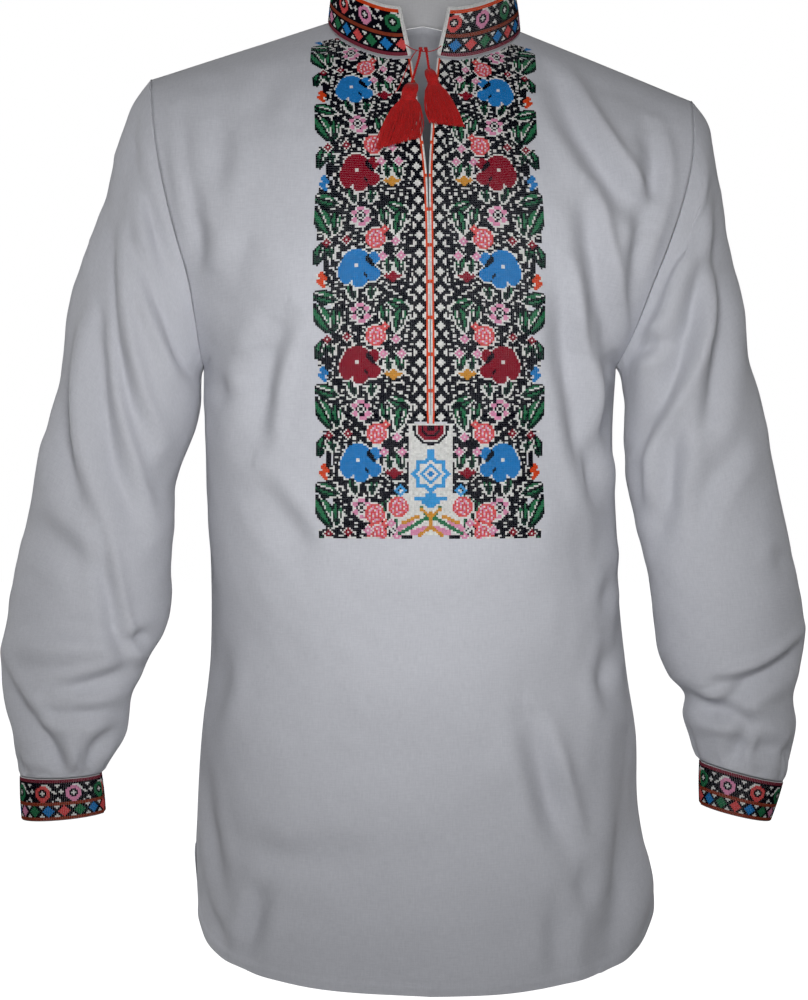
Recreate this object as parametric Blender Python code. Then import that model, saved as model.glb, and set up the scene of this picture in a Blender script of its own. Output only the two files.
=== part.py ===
"""A vyshyvanka, the embroidered pullover shirt of Ukrainian folk dress, as it hangs on a wearer with
both arms down.

It is cut and sewn from seven pieces of cloth: a one-piece front with a neck slit, a one-piece back, two
sleeves, a stand collar and two lapped cuffs. A thread joins the collar's ends, and two cords with a
tassel each hang from it.

Axes: -Y is the way the wearer faces, +X is the wearer's left and +Z is up. The origin is midway between
the two points where the shoulder seams meet the collar. Tables are in millimetres; meshes are in metres.
"""

import bpy
import numpy as np

MM = 0.001

# Cloth
CLOTH = 1.2  # wall of one layer
DOUBLE_CLOTH = 2.0  # collar and cuffs are two layers
SEAM_GAP = 0.3  # between neighbouring pieces
ARMHOLE_GAP = 1.1  # a sleeve meets the body at an angle, so its edge stands off further

# Rows and columns of each panel's grid
HEM_ROWS = 2  # hem to the top of the side vents
SIDE_ROWS = 9  # top of the vents to underarm
ARMHOLE_ROWS = 12  # underarm to shoulder seam
SHOULDER_COLUMNS = 8  # armhole to neck point, each side
NECK_COLUMNS = {"front": 6, "back": 4}  # neck point to the centre, each side
SLEEVE_RINGS = 16
CUFF_COLUMNS = 28

# The body below the underarm: half-sections at five heights and more. Left and right are the side seams.
SIDE_Y = 5.0
BODY = {
    "z":     [-840, -760, -700, -650, -590, -545, -480, -410, -345, -285],
    "left":  [-184, -188, -192, -191, -187, -181, -179, -181, -184, -185],
    "right": [188,   190,  186,  180,  178,  171,  164,  161,  158,  161],
    "front": [-121, -122, -124, -125, -126, -126, -125, -124, -123, -122],
    "back":  [114,   112,  108,  102,   96,   94,   96,  102,  108,  112],
}
UNDERARM_Z = -285.0
LOWEST_Z = -840.0
SECTION_FULLNESS = 1.85  # 1.66 makes each quarter of a section an ellipse, and more makes it squarer

# The armholes, from the underarm (rise 0) to the shoulder tip (rise 1)
ARMHOLE = {
    "rise":  [0,    0.13, 0.3,  0.45, 0.6,  0.75, 1],
    "left":  [-185, -189, -195, -205, -214, -221, -228],
    "right": [161,   174,  188,  201,  212,  220,  223],
}
LEFT_TIP_Z, RIGHT_TIP_Z = -45.0, -63.0
TIP_Y = 8.0
ARMHOLE_FORWARD, ARMHOLE_BACK = 60.0, 62.0
ARMHOLE_ROUNDNESS = 0.85

# The centre line of front and back, from the level of the underarm (step 0) to above the neck hole (step
# 1)
CENTRE = {
    "step":    [0,    0.25, 0.5,  0.7,  0.85, 0.93, 1],
    "front y": [-122, -121, -110, -87,  -56,  -31,  12],
    "front z": [-285, -225, -155, -94,  -42,  -9,   29],
    "back y":  [112,  116,  114,  102,  80,   57,   12],
    "back z":  [-285, -222, -150, -84,  -30,  1,    29],
}

# The neck hole is an oval seen from above, widest at the shoulder seams.
NECK_HALF_WIDTH = 80.5
NECK_Y = 11.5
NECK_FORWARD, NECK_BACK = 60.0, 41.0

# The slit: its own centre line, and half the gap between its edges
SLIT = {
    "z":    [-325, -260, -160, -130, -100, -62, -28],
    "x":    [4.4,  4.0,  3.0,  2.2,  1.2,  0.2, -0.5],
    "half": [0.25, 0.3,  0.35, 0.9,  3.2,  7.0, 11.2],
}
SLIT_END_Z = -325.0

# The shirt-tail hem: how low each column hangs, by its place from side (1) to centre (0)
HEM = {
    "place": [0,    0.25, 0.5,  0.7,  0.84, 0.93, 1],
    "front": [-793, -790, -781, -770, -757, -741, -722],
    "back":  [-786, -783, -773, -760, -742, -722, -696],
}
VENT_TOP_Z = -650.0
VENT_GAP = 5.0  # between front and back at the bottom of the vent

# Sleeves: each ring has an outer and an inner point, a middle y and half its depth from front to back
LEFT_SLEEVE = {
    "outer x": [
        -228, -243, -256, -268, -283, -297, -308, -318,
        -329, -342, -350, -352, -348, -341, -337, -336,
    ],
    "outer z": [
        -45, -66, -100, -146, -195, -245, -300, -355,
        -404, -453, -497, -527, -556, -586, -611, -624,
    ],
    "inner x": [
        -185, -188, -189, -189, -192, -201, -211, -211,
        -210, -211, -219, -230, -238, -249, -260, -269,
    ],
    "inner z": [
        -285, -292, -303, -318, -338, -360, -387, -423,
        -459, -489, -509, -525, -544, -568, -602, -622,
    ],
    "y": [
        6, 5, 3, 1, -1, -3, -5, -7,
        -10, -14, -18, -22, -25, -28, -30, -30,
    ],
    "depth": [
        61, 63, 65, 66, 66, 65, 64, 63,
        62, 60, 59, 57, 53, 47, 40, 36,
    ],
}
RIGHT_SLEEVE = {
    "outer x": [
        223, 235, 240, 242, 248, 257, 266, 275, 285,
        296, 304, 313, 317, 312, 307, 309, 304, 298,
    ],
    "outer z": [
        -63, -80, -99, -124, -153, -195, -242, -290, -336,
        -393, -438, -482, -511, -538, -561, -584, -610, -629,
    ],
    "inner x": [
        161, 164.5, 166, 166.5, 167, 167, 167, 168, 170,
        179, 186, 190, 195, 204, 218, 218, 224, 229,
    ],
    "inner z": [
        -285, -291, -298, -306, -316, -331, -348, -364, -388,
        -420, -449, -484, -515, -542, -558, -575, -597, -611,
    ],
    "y": [
        6, 5, 4, 3, 1, -1, -3, -5, -8,
        -12, -16, -20, -23, -26, -28, -29, -30, -30,
    ],
    "depth":   [61,  63,  65,  66,  66,  65,  64,  63,  62,  60,  58,  56,  53,  49,  45,  42,  38,  36],
}
ARMHOLE_FADE = 4  # table rows over which the armhole's own shape passes into plain ovals
SLEEVE_SLIT_RINGS = 4  # rings above the cuff where the sleeve is slit
SLEEVE_SLIT_POINT = 2  # its place round the sleeve, in grid points from the inner seam towards the front
SLEEVE_SLIT_STEP = 2.0  # how far the under edge sits inside the over edge
SLEEVE_SLIT_LAP = 6.0  # and how far it goes on behind it

# Cuffs: outer and inner points of the upper and lower edge
LEFT_CUFF = {
    "outer": [(-336.5, -624.9), (-335, -661)],
    "inner": [(-268, -622.9), (-264.5, -655)],
    "y": (-30, -31),
}
RIGHT_CUFF = {
    "outer": [(298.5, -630), (288, -662)],
    "inner": [(228, -612), (228, -648)],
    "y": (-30, -31),
}
CUFF_DEPTH = 36.5
CUFF_END_TURN = 16.0  # degrees from the inner point to the over end, towards the front
CUFF_LAP = 16.0  # length of the overlap
CUFF_LAP_STEP = 2.6  # how far the under end sits inside the over end

# Collar
COLLAR_HEIGHT = 41.0
COLLAR_LEAN = 3.5  # its top is this much narrower all round
COLLAR_END_OPENING = 10.0  # how much further apart its ends are at the top than at the seam

# Largest folds: a curve through three points as seen from the front, a width and a depth. Negative
# depths are ridges.
FOLD_COLUMNS = "x0 z0 x1 z1 x2 z2 width depth".split()
FRONT_FOLDS = [
    (104, -42, 145, -112, 178, -165, 17, 9.1),
    (182, -92, 190, -135, 180, -170, 16, 8.4),
    (172, -184, 174, -205, 171, -226, 14, 5.6),
    (127, -144, 143, -218, 158, -268, 16, 9.1),
    (106, -212, 123, -318, 160, -430, 16, 9.1),
    (148, -268, 150, -320, 140, -385, 16, 6.3),
    (-112, -245, -132, -298, -135, -345, 17, 7),
    (-200, -80, -192, -135, -186, -192, 16, 5.6),
    (-168, -80, -170, -120, -175, -146, 18, 4.9),
    (-136, -378, -118, -400, -98, -436, 21, 4.2),
    (83, -570, 96, -612, 115, -672, 18, 7.7),
    (178, -590, 172, -660, 148, -752, 18, 8.4),
    (-132, -700, -139, -732, -146, -762, 14, 5.6),
]
BACK_FOLDS = [
    (-190, -150, -165, -210, -110, -262, 20, 8.4),
    (185, -160, 160, -222, 108, -272, 20, 8.4),
    (-60, -300, -92, -400, -112, -520, 22, 8.4),
    (70, -310, 92, -420, 98, -545, 22, 8.4),
    (10, -360, 4, -470, 14, -600, 23, 6.3),
    (-120, -560, -98, -640, -90, -730, 20, 7),
    (118, -580, 104, -650, 110, -735, 20, 7),
]
LEFT_SLEEVE_FRONT_FOLDS = [
    (-233, -60, -247, -120, -240, -195, 14, 7),
    (-240, -105, -222, -170, -198, -228, 13, 6.3),
    (-227, -190, -212, -250, -188, -292, 13, 6.3),
    (-256, -125, -256, -230, -228, -345, 16, 9.8),
    (-274, -195, -262, -315, -230, -415, 16, 9.8),
    (-284, -225, -297, -315, -272, -405, 16, 9.8),
    (-328, -405, -300, -440, -272, -462, 16, 4.9),
    (-304, -548, -276, -550, -246, -532, 12, 6.3),
    (-345, -530, -326, -566, -300, -602, 13, 5.6),
]
RIGHT_SLEEVE_FRONT_FOLDS = [
    (239, -165, 225, -262, 188, -340, 16, 9.8),
    (244, -140, 245, -242, 222, -342, 16, 9.8),
    (172, -268, 188, -266, 206, -262, 12, 6.3),
    (204, -335, 194, -382, 188, -430, 16, 8.4),
    (262, -346, 240, -378, 222, -430, 17, 4.9),
    (312, -510, 268, -532, 236, -545, 12, 8.4),
    (226, -566, 262, -562, 278, -580, 12, 5.6),
]
LEFT_SLEEVE_BACK_FOLDS = [
    (-236, -90, -250, -190, -238, -300, 17, 9.1),
    (-268, -190, -282, -300, -262, -410, 17, 9.1),
    (-225, -235, -240, -300, -226, -380, 16, 7),
    (-335, -450, -300, -478, -250, -490, 17, 7),
    (-330, -560, -300, -548, -262, -560, 13, 7),
]
RIGHT_SLEEVE_BACK_FOLDS = [
    (234, -100, 244, -200, 222, -300, 17, 9.1),
    (254, -190, 262, -300, 240, -400, 17, 9.1),
    (190, -230, 206, -300, 196, -372, 16, 7),
    (306, -440, 262, -470, 210, -482, 17, 7),
    (298, -560, 268, -548, 232, -560, 13, 7),
]
FOLD_SAMPLES = 16
SHOULDER_OF_FOLD = 0.4  # the ridge beside a trough, as a share of its depth

# Tie: a thread across the collar's ends, two cords over it and a tassel on each
THREAD = 0.9
CORD = 2.2
THREAD_ROUTE = [
    (-15.8, -48.3, -21.6), (-12.8, -50.2, -23.8), (-8.5, -52.9, -26.2), (-3.5, -54.4, -27.6),
    (1, -54.6, -28.0), (5.5, -53.6, -27.4), (9.8, -51.4, -25.6), (13.4, -48.9, -22.8),
]
LEFT_CORD_ROUTE = [
    (-3.2, -56.1, -26.2), (-3.8, -57.8, -28.4), (-4.4, -59.1, -32.0), (-5.4, -60.6, -36.0),
    (-6.8, -62.8, -41.0), (-8.4, -65.6, -46.5), (-10.2, -69.1, -53.0),
]
RIGHT_CORD_ROUTE = [
    (0.9, -56.2, -26.2), (1.3, -57.8, -28.4), (1.8, -59.2, -31.8), (2.4, -60.8, -35.6),
    (3.2, -63.5, -41.5),
]
TASSELS = {
    # name: (top x, top z, foot x, foot z, half width of the foot, foot's tilt)
    "tassel_left": (-10.2, -53.6, -22.5, -107.0, 19.5, 0.28),
    "tassel_right": (3.2, -42.0, 17.5, -91.0, 14.5, -0.12),
}
TASSEL_PROFILE = {
    # share of the length, half width as a share of the foot's, half depth in mm
    "along": [0,    0.06, 0.14, 0.22, 0.27, 0.4,  0.6,  0.8,  1],
    "wide":  [0.06, 0.24, 0.32, 0.26, 0.20, 0.42, 0.66, 0.85, 1],
    "deep":  [0.9,  4.2,  5.6,  4.6,  3.4,  4.2,  4.8,  5.0,  5.0],
}
TASSEL_CLEARANCE = 1.8
TASSEL_SIDES = 14


def curve_through(knots, values, at):
    """A smooth curve through a table's rows: a cubic in each span, sloped at each knot as across its
    neighbours."""
    knots, values = np.asarray(knots, float), np.asarray(values, float)
    slopes = np.gradient(values, knots)
    span = np.clip(np.searchsorted(knots, at) - 1, 0, len(knots) - 2)
    width = knots[span + 1] - knots[span]
    t = np.clip((at - knots[span]) / width, 0, 1)
    return (
        values[span] * (1 + 2 * t) * (1 - t) ** 2
        + width * slopes[span] * t * (1 - t) ** 2
        + values[span + 1] * t * t * (3 - 2 * t)
        - width * slopes[span + 1] * t * t * (1 - t)
    )


def column(table, key, name, at):
    return curve_through(table[key], table[name], at)


def unit(vectors):
    return vectors / np.linalg.norm(vectors, axis=-1, keepdims=True)


# ---------------------------------------------------------------- body


def armhole_edge(step, side, face):
    """Points up one half of an armhole. The rise follows a half circle, so the oval is round at both
    ends."""
    rise = (1 - np.cos(np.pi * step)) / 2
    tip_z = LEFT_TIP_Z if side == "left" else RIGHT_TIP_Z
    reach = -ARMHOLE_FORWARD if face == "front" else ARMHOLE_BACK
    x = column(ARMHOLE, "rise", side, rise)
    y = SIDE_Y + (TIP_Y - SIDE_Y) * rise + reach * np.sin(np.pi * step) ** ARMHOLE_ROUNDNESS
    z = UNDERARM_Z + (tip_z - UNDERARM_Z) * rise
    return np.stack([x, y, z], axis=-1)


def body_points(level, place, side, face):
    """The bare surface of one quarter of the body, before folds and slit.

    level runs from -1 (below the hem) through 0 (underarm) to 1 (shoulder seam); place runs from 0 at
    the side to 1 at the centre. Each level is a cubic from its side point, which it leaves along the
    body's side below the underarm and ever more along the chest above it, to its centre point, which it
    reaches level.
    """
    low_z = UNDERARM_Z + np.minimum(level, 0) * (UNDERARM_Z - LOWEST_Z)
    step = np.clip(level, 0, 1)
    above = level > 0
    edge = armhole_edge(step, side, face)
    low_edge = np.stack([column(BODY, "z", side, low_z), np.full_like(low_z, SIDE_Y), low_z], axis=-1)
    edge = np.where(above[..., None], edge, low_edge)
    middle_y = np.where(above, column(CENTRE, "step", face + " y", step), column(BODY, "z", face, low_z))
    middle_z = np.where(above, column(CENTRE, "step", face + " z", step), low_z)
    middle_x = column(SLIT, "z", "x", np.clip(middle_z, SLIT["z"][0], SLIT["z"][-1]))
    turn = np.radians(90) * (1 - step) ** 1.5
    fullness = 1 + (SECTION_FULLNESS - 1) * (1 - step)
    run_x, run_y = middle_x - edge[..., 0], middle_y - edge[..., 1]
    leave = fullness * (np.abs(run_x) * np.cos(turn) + np.abs(run_y) * np.sin(turn))
    leave_x = leave * np.cos(turn) * np.sign(run_x)
    leave_y = np.where(step < 1, leave * np.sin(turn) * np.sign(run_y), 0) + run_y * step**4
    t = place
    start, from_start = (1 + 2 * t) * (1 - t) ** 2, t * (1 - t) ** 2
    finish, from_finish = t * t * (3 - 2 * t), -t * t * (1 - t)
    x = edge[..., 0] * start + leave_x * from_start + middle_x * finish + fullness * run_x * from_finish
    y = edge[..., 1] * start + leave_y * from_start + middle_y * finish + run_y * step**4 * from_finish
    z = middle_z + (edge[..., 2] - middle_z) * (1 - t) ** (1 + 0.8 * np.sqrt(1 - step))
    return np.stack([x, y, z], axis=-1)


def neck_levels(places, side, face):
    """For each place across, the level at which the body's surface meets the oval of the neck hole."""
    levels = np.linspace(0.5, 1, 400)
    grid = body_points(*np.broadcast_arrays(levels[:, None], places[None, :]), side, face)
    reach = NECK_FORWARD if face == "front" else NECK_BACK
    inside = (grid[..., 0] / NECK_HALF_WIDTH) ** 2 + ((grid[..., 1] - NECK_Y) / reach) ** 2 - 1
    cut = [np.interp(0, -inside[:, i], levels) for i in range(len(places))]
    return np.array(cut)


def neck_place(side):
    """The place on the shoulder seam where the neck hole begins."""
    places = np.linspace(0, 1, 800)
    seam = body_points(np.ones_like(places), places, side, "front")
    return np.interp(-NECK_HALF_WIDTH, -np.abs(seam[:, 0]), places)


def half_panel(side, face):
    """The grid of one half of the front or the back: rows from hem to top, columns from side to centre.
    """
    corner = neck_place(side)
    shoulder = np.linspace(0, corner, SHOULDER_COLUMNS + 1)
    neck = np.linspace(corner, 1, NECK_COLUMNS[face] + 1)[1:]
    places = np.concatenate([shoulder, neck])
    tops = np.concatenate([np.ones(SHOULDER_COLUMNS + 1), neck_levels(neck, side, face)])
    depth = UNDERARM_Z - LOWEST_Z
    hem = (column(HEM, "place", face, 1 - places) - UNDERARM_Z) / depth
    vent = np.full_like(hem, (VENT_TOP_Z - UNDERARM_Z) / depth)
    skirt = hem + (vent - hem) * np.linspace(0, 1, HEM_ROWS + 1)[:-1, None]
    sides = vent * np.linspace(1, 0, SIDE_ROWS + 1)[:-1, None]
    above = np.linspace(0, 1, ARMHOLE_ROWS + 1)[:, None] * tops[None, :]
    levels = np.concatenate([skirt, sides, above])
    points = body_points(levels, np.broadcast_to(places, levels.shape), side, face)
    return points, places


def open_slit(points, places, side):
    """Moves the columns next to the slit sideways, by half its gap."""
    z = points[..., 2]
    half = column(SLIT, "z", "half", np.clip(z, SLIT["z"][0], SLIT["z"][-1]))
    half = np.where(z > SLIT_END_Z, half, 0)
    corner = places[SHOULDER_COLUMNS]
    reach = np.clip((places - corner) / (1 - corner), 0, 1) ** 2
    points[..., 0] += (-1 if side == "left" else 1) * half * reach
    return points


def spread_vent(points, places, side, face):
    """Below the side seam the panels part: each side edge leans out and away from the other panel."""
    drop = np.clip((VENT_TOP_Z - points[..., 2]) / 100, 0, 1)
    near = np.clip(1 - places / 0.25, 0, 1) ** 2
    points[..., 1] += (-1 if face == "front" else 1) * VENT_GAP / 2 * drop * near
    flare = {"leftfront": 0, "leftback": -6, "rightfront": 9, "rightback": 4}[side + face]
    points[..., 0] += flare * drop**2 * near
    return points


# ---------------------------------------------------------------- folds


def fold_heights(points, normals, folds, face):
    """How far folds move each point along its normal. Each is a trough with a low ridge on both sides.

    Its line is the parabola through the fold's three points in the X-Z plane; a point's distance to it
    is taken there. It fades towards both ends, and on cloth that faces the other way.
    """
    heights = np.zeros(points.shape[:-1])
    facing = normals[..., 1] * (-1 if face == "front" else 1)
    facing = np.clip(0.15 + 1.4 * facing, 0, 1)
    along = np.linspace(0, 1, FOLD_SAMPLES)
    for row in folds:
        fold = dict(zip(FOLD_COLUMNS, row))
        first, last = 2 * (along - 0.5) * (along - 1), 2 * along * (along - 0.5)
        centre = 4 * along * (1 - along)
        line_x = fold["x0"] * first + fold["x1"] * centre + fold["x2"] * last
        line_z = fold["z0"] * first + fold["z1"] * centre + fold["z2"] * last
        gap_x = points[..., 0, None] - line_x
        gap_z = points[..., 2, None] - line_z
        squared = gap_x**2 + gap_z**2
        near = squared.argmin(axis=-1)
        distance = np.sqrt(squared.min(axis=-1)) / fold["width"]
        strength = np.sin(np.pi * (0.06 + 0.88 * along[near])) ** 0.7
        trough = np.exp(-(distance**2))
        ridge = SHOULDER_OF_FOLD * np.exp(-(((distance - 1.9) / 0.9) ** 2))
        heights -= fold["depth"] * strength * (trough - ridge)
    return heights * facing


# ---------------------------------------------------------------- sleeves and cuffs


def sleeve_points(table, side, rings):
    """The rings of one sleeve, from the armhole to the cuff.

    The rings turn about the underarm: the outer point runs down the arm's outer side while the inner
    point hardly moves, until the ring is square to the arm. Each ring is an oval through its outer and
    inner point, and the first ones pass from the armhole's own shape into plain ovals.
    """
    rows = np.arange(len(table["y"]))
    at = np.linspace(0, rows[-1], rings + 1)
    values = {name: curve_through(rows, table[name], at) for name in table}
    step = np.arange(2 * ARMHOLE_ROWS) / ARMHOLE_ROWS
    turn = np.pi * step
    outer = np.stack([values["outer x"], values["y"], values["outer z"]], axis=-1)
    inner = np.stack([values["inner x"], values["y"], values["inner z"]], axis=-1)
    middle, half = (outer + inner) / 2, (inner - outer) / 2
    ovals = middle[:, None] + half[:, None] * np.cos(turn)[None, :, None]
    ovals[..., 1] -= values["depth"][:, None] * np.sin(turn)[None, :]
    armhole = np.concatenate(
        [
            armhole_edge(step[: ARMHOLE_ROWS + 1], side, "front"),
            armhole_edge(2 - step[ARMHOLE_ROWS + 1 :], side, "back"),
        ]
    )
    fade = np.clip(1 - at / ARMHOLE_FADE, 0, 1)
    fade = fade**2 * (3 - 2 * fade)
    return ovals + fade[:, None, None] * (armhole - ovals[0])


def cuff_grid(cuff):
    """The rows of a cuff: an oval band that goes round a little more than once, its last part stepping
    inwards."""
    outer, inner = np.array(cuff["outer"], float), np.array(cuff["inner"], float)
    girth = np.pi * (np.linalg.norm(outer[0] - inner[0]) / 2 + CUFF_DEPTH)
    lap = CUFF_LAP / girth
    rounds = np.linspace(0, 1 + lap, CUFF_COLUMNS + 1)
    turn = np.radians(CUFF_END_TURN) + 2 * np.pi * rounds
    inward = CUFF_LAP_STEP * np.clip((rounds - 1 + 2 * lap) / (2 * lap), 0, 1)
    rows = []
    for share in (1, 0.5, 0):
        outer_point = outer[0] + (outer[1] - outer[0]) * share
        inner_point = inner[0] + (inner[1] - inner[0]) * share
        middle, half = (outer_point + inner_point) / 2, (inner_point - outer_point) / 2
        wide = 1 - inward / np.linalg.norm(half)
        middle_y = cuff["y"][0] + (cuff["y"][1] - cuff["y"][0]) * share
        x = middle[0] + half[0] * wide * np.cos(turn)
        y = middle_y - (CUFF_DEPTH - inward) * np.sin(turn)
        z = middle[1] + half[1] * wide * np.cos(turn)
        rows.append(np.stack([x, y, z], axis=-1))
    return np.stack(rows)


# ---------------------------------------------------------------- meshes


def grid_faces(index):
    """Four-sided faces of a grid of point numbers, wound so that a row to the right and up faces the
    reader."""
    corners = [index[:-1, :-1], index[:-1, 1:], index[1:, 1:], index[1:, :-1]]
    return np.stack(corners, axis=-1).reshape(-1, 4)


def grid_normals(points, closed=False):
    """Unit normals of a grid of points, from the differences across each point's neighbours."""
    across = np.gradient(points, axis=1)
    if closed:
        across = (np.roll(points, -1, axis=1) - np.roll(points, 1, axis=1)) / 2
    up = np.gradient(points, axis=0)
    normals = np.cross(across, up)
    return unit(normals)


def joined_normals(panels):
    """Point normals shared by panels whose seam points coincide, so that their walls keep the same gap
    inside."""
    points = np.concatenate([panel["points"] for panel in panels])
    starts = np.cumsum([0] + [len(panel["points"]) for panel in panels])
    faces = np.concatenate([panel["faces"] + start for panel, start in zip(panels, starts)])
    _, merged = np.unique(np.round(points, 3), axis=0, return_inverse=True)
    merged = merged.reshape(-1)
    corners = points[faces]
    face_normals = np.cross(corners[:, 2] - corners[:, 0], corners[:, 3] - corners[:, 1])
    summed = np.zeros((merged.max() + 1, 3))
    for corner in range(4):
        np.add.at(summed, merged[faces[:, corner]], face_normals)
    normals = unit(summed)[merged]
    return [normals[a:b] for a, b in zip(starts[:-1], starts[1:])]


def rim_edges(faces):
    """The edges that only one face has, in that face's own direction."""
    edges = np.concatenate([faces[:, [i, (i + 1) % 4]] for i in range(4)])
    _, first, count = np.unique(np.sort(edges, axis=1), axis=0, return_index=True, return_counts=True)
    return edges[first[count == 1]]


def triangles_of(points, faces):
    """Four-sided faces split along their shorter diagonal."""
    corners = points[faces]
    first = np.linalg.norm(corners[:, 2] - corners[:, 0], axis=1)
    second = np.linalg.norm(corners[:, 3] - corners[:, 1], axis=1)
    turned = np.where((first <= second)[:, None], faces, np.roll(faces, -1, axis=1))
    return np.concatenate([turned[:, [0, 1, 2]], turned[:, [0, 2, 3]]])


def cloth(name, points, faces, normals, thickness, material):
    """A closed wall: the outer surface, the same surface moved in by the thickness, and a rim between
    them."""
    used, faces = np.unique(faces, return_inverse=True)
    faces = faces.reshape(-1, 4)
    outer = points[used]
    inner = outer - thickness * normals[used]
    rim = rim_edges(faces)
    count = len(outer)
    # Both walls are split along the same diagonals, so that where a face isn't flat they stay the same
    # distance apart.
    sides = triangles_of(outer, faces)
    walls = np.concatenate([rim[:, ::-1], rim + count], axis=1)
    walls = np.concatenate([walls[:, [0, 1, 2]], walls[:, [0, 2, 3]]])
    all_faces = np.concatenate([sides, sides[:, ::-1] + count, walls])
    mesh = bpy.data.meshes.new(name)
    mesh.from_pydata(np.concatenate([outer, inner]) * MM, [], all_faces.tolist())
    return place_object(name, mesh, material)


def place_object(name, mesh, material, smooth_angle=50):
    mesh.materials.append(material)
    mesh.shade_smooth()
    mesh.set_sharp_from_angle(angle=np.radians(smooth_angle))
    thing = bpy.data.objects.new(name, mesh)
    bpy.context.scene.collection.objects.link(thing)
    return thing


def finish(name, colour, roughness):
    """A plain dielectric finish."""
    material = bpy.data.materials.new(name)
    material.use_nodes = True
    shader = material.node_tree.nodes["Principled BSDF"]
    shader.inputs["Base Color"].default_value = (*colour, 1)
    shader.inputs["Roughness"].default_value = roughness
    shader.inputs["Metallic"].default_value = 0
    return material


def moved_towards(points, neighbours, distance):
    return points + distance * unit(neighbours - points)


# ---------------------------------------------------------------- the shirt


def body_grids():
    """Front-left, front-right, back-left and back-right grids with their folds, columns from side to
    centre."""
    grids = {}
    for face in ("front", "back"):
        for side in ("left", "right"):
            points, places = half_panel(side, face)
            normals = grid_normals(points) * (1 if (side == "left") == (face == "front") else -1)
            heights = fold_heights(points, normals, FRONT_FOLDS if face == "front" else BACK_FOLDS, face)
            still = np.clip(np.minimum(places / 0.12, 1), 0, 1)  # seams and edges keep their place
            rows = np.arange(len(points))
            still = still[None, :] * np.clip((len(points) - 1 - rows) / 2, 0, 1)[:, None]
            still[:, -1] *= 0.3
            points += (heights * still)[..., None] * normals
            if face == "front":
                points = open_slit(points, places, side)
            grids[face, side] = spread_vent(points, places, side, face)
    return grids


def front_panel(grids):
    """One piece cut on the fold: both halves share their centre column below the slit and part along it.
    """
    left, right = grids["front", "left"], grids["front", "right"][:, ::-1]
    rows, columns = left.shape[:2]
    slit_row = int(np.argmax(left[:, -1, 2] > SLIT_END_Z))
    points = np.concatenate([left.reshape(-1, 3), right.reshape(-1, 3)])
    index_left = np.arange(rows * columns).reshape(rows, columns)
    index_right = index_left + rows * columns
    index_right[:slit_row, 0] = index_left[:slit_row, -1]
    faces = np.concatenate([grid_faces(index_left), grid_faces(index_right)])
    return {"points": points, "faces": faces}


def back_panel(grids):
    left, right = grids["back", "left"], grids["back", "right"][:, ::-1]
    grid = np.concatenate([left, right[:, 1:]], axis=1)[:, ::-1]
    index = np.arange(grid[..., 0].size).reshape(grid.shape[:2])
    return {"points": grid.reshape(-1, 3), "faces": grid_faces(index)}


def sleeve_panel(table, side, front_folds, back_folds):
    """One piece closed by the underarm seam, and slit behind the cuff's lap."""
    grid = sleeve_points(table, side, SLEEVE_RINGS)
    outward = 1 if side == "left" else -1
    normals = grid_normals(grid, closed=True) * outward
    heights = fold_heights(grid, normals, front_folds, "front")
    heights += fold_heights(grid, normals, back_folds, "back")
    rings = np.arange(len(grid))
    still = np.clip(rings / 3, 0, 1) * np.clip((len(grid) - 1 - rings) / 2, 0, 1)
    grid += (heights * still[:, None])[..., None] * normals
    count = grid.shape[1]
    index = np.arange(grid.shape[0] * count).reshape(-1, count)
    # The under edge of the slit has points of its own, inside the over edge and a little past it.
    slit_rings = np.arange(len(grid) - SLEEVE_SLIT_RINGS, len(grid))
    over = grid[slit_rings, SLEEVE_SLIT_POINT]
    under = moved_towards(over, grid[slit_rings, SLEEVE_SLIT_POINT + 1], SLEEVE_SLIT_LAP)
    under -= SLEEVE_SLIT_STEP * normals[slit_rings, SLEEVE_SLIT_POINT]
    points = np.concatenate([grid.reshape(-1, 3), under])
    loop = np.concatenate([index, index[:, :1]], axis=1)
    faces = grid_faces(loop)
    if side == "left":
        faces = faces[:, ::-1]
    under_numbers = range(grid.shape[0] * count, len(points))
    under_index = dict(zip(index[slit_rings, SLEEVE_SLIT_POINT].tolist(), under_numbers))
    before_slit = set(index[:, SLEEVE_SLIT_POINT - 1].tolist())
    for face in faces:
        if before_slit & set(face.tolist()):
            face[:] = [under_index.get(corner, corner) for corner in face.tolist()]
    return {"points": points, "faces": faces, "armhole": index[0]}


def collar_grid(grids):
    """The band on the neck hole: columns from the slit's left edge round the back to its right edge,
    rows upwards."""
    corner = SHOULDER_COLUMNS
    base = np.concatenate(
        [
            grids["front", "left"][-1, corner:][::-1],
            grids["back", "left"][-1, corner + 1 :],
            grids["back", "right"][-1, corner:-1][::-1],
            grids["front", "right"][-1, corner + 1 :],
        ]
    )
    lengths = np.concatenate([[0], np.cumsum(np.linalg.norm(np.diff(base, axis=0), axis=1))])
    rows = []
    for share in np.linspace(0, 1, 4):
        setback = COLLAR_END_OPENING * share
        at = setback + lengths * (lengths[-1] - 2 * setback) / lengths[-1]
        row = np.stack([np.interp(at, lengths, base[:, i]) for i in range(3)], axis=-1)
        inward = unit(np.array([0, NECK_Y, 0]) - row * [1, 1, 0])
        row = row + COLLAR_LEAN * share * inward
        row[:, 2] += SEAM_GAP + COLLAR_HEIGHT * share
        rows.append(row)
    return np.stack(rows)


def chest_y(x, z):
    """How far forward the front panel's bare surface is at places seen from the front: its nearest point
    there."""
    levels, places = np.linspace(0.4, 1, 160)[:, None], np.linspace(0.4, 1, 60)[None, :]
    grid = np.broadcast_arrays(levels, places)
    halves = [body_points(*grid, side, "front").reshape(-1, 3) for side in ("left", "right")]
    points = np.concatenate(halves)
    squared = (points[:, 0] - x[:, None]) ** 2 + (points[:, 2] - z[:, None]) ** 2
    return points[squared.argmin(axis=1), 1]


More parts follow.
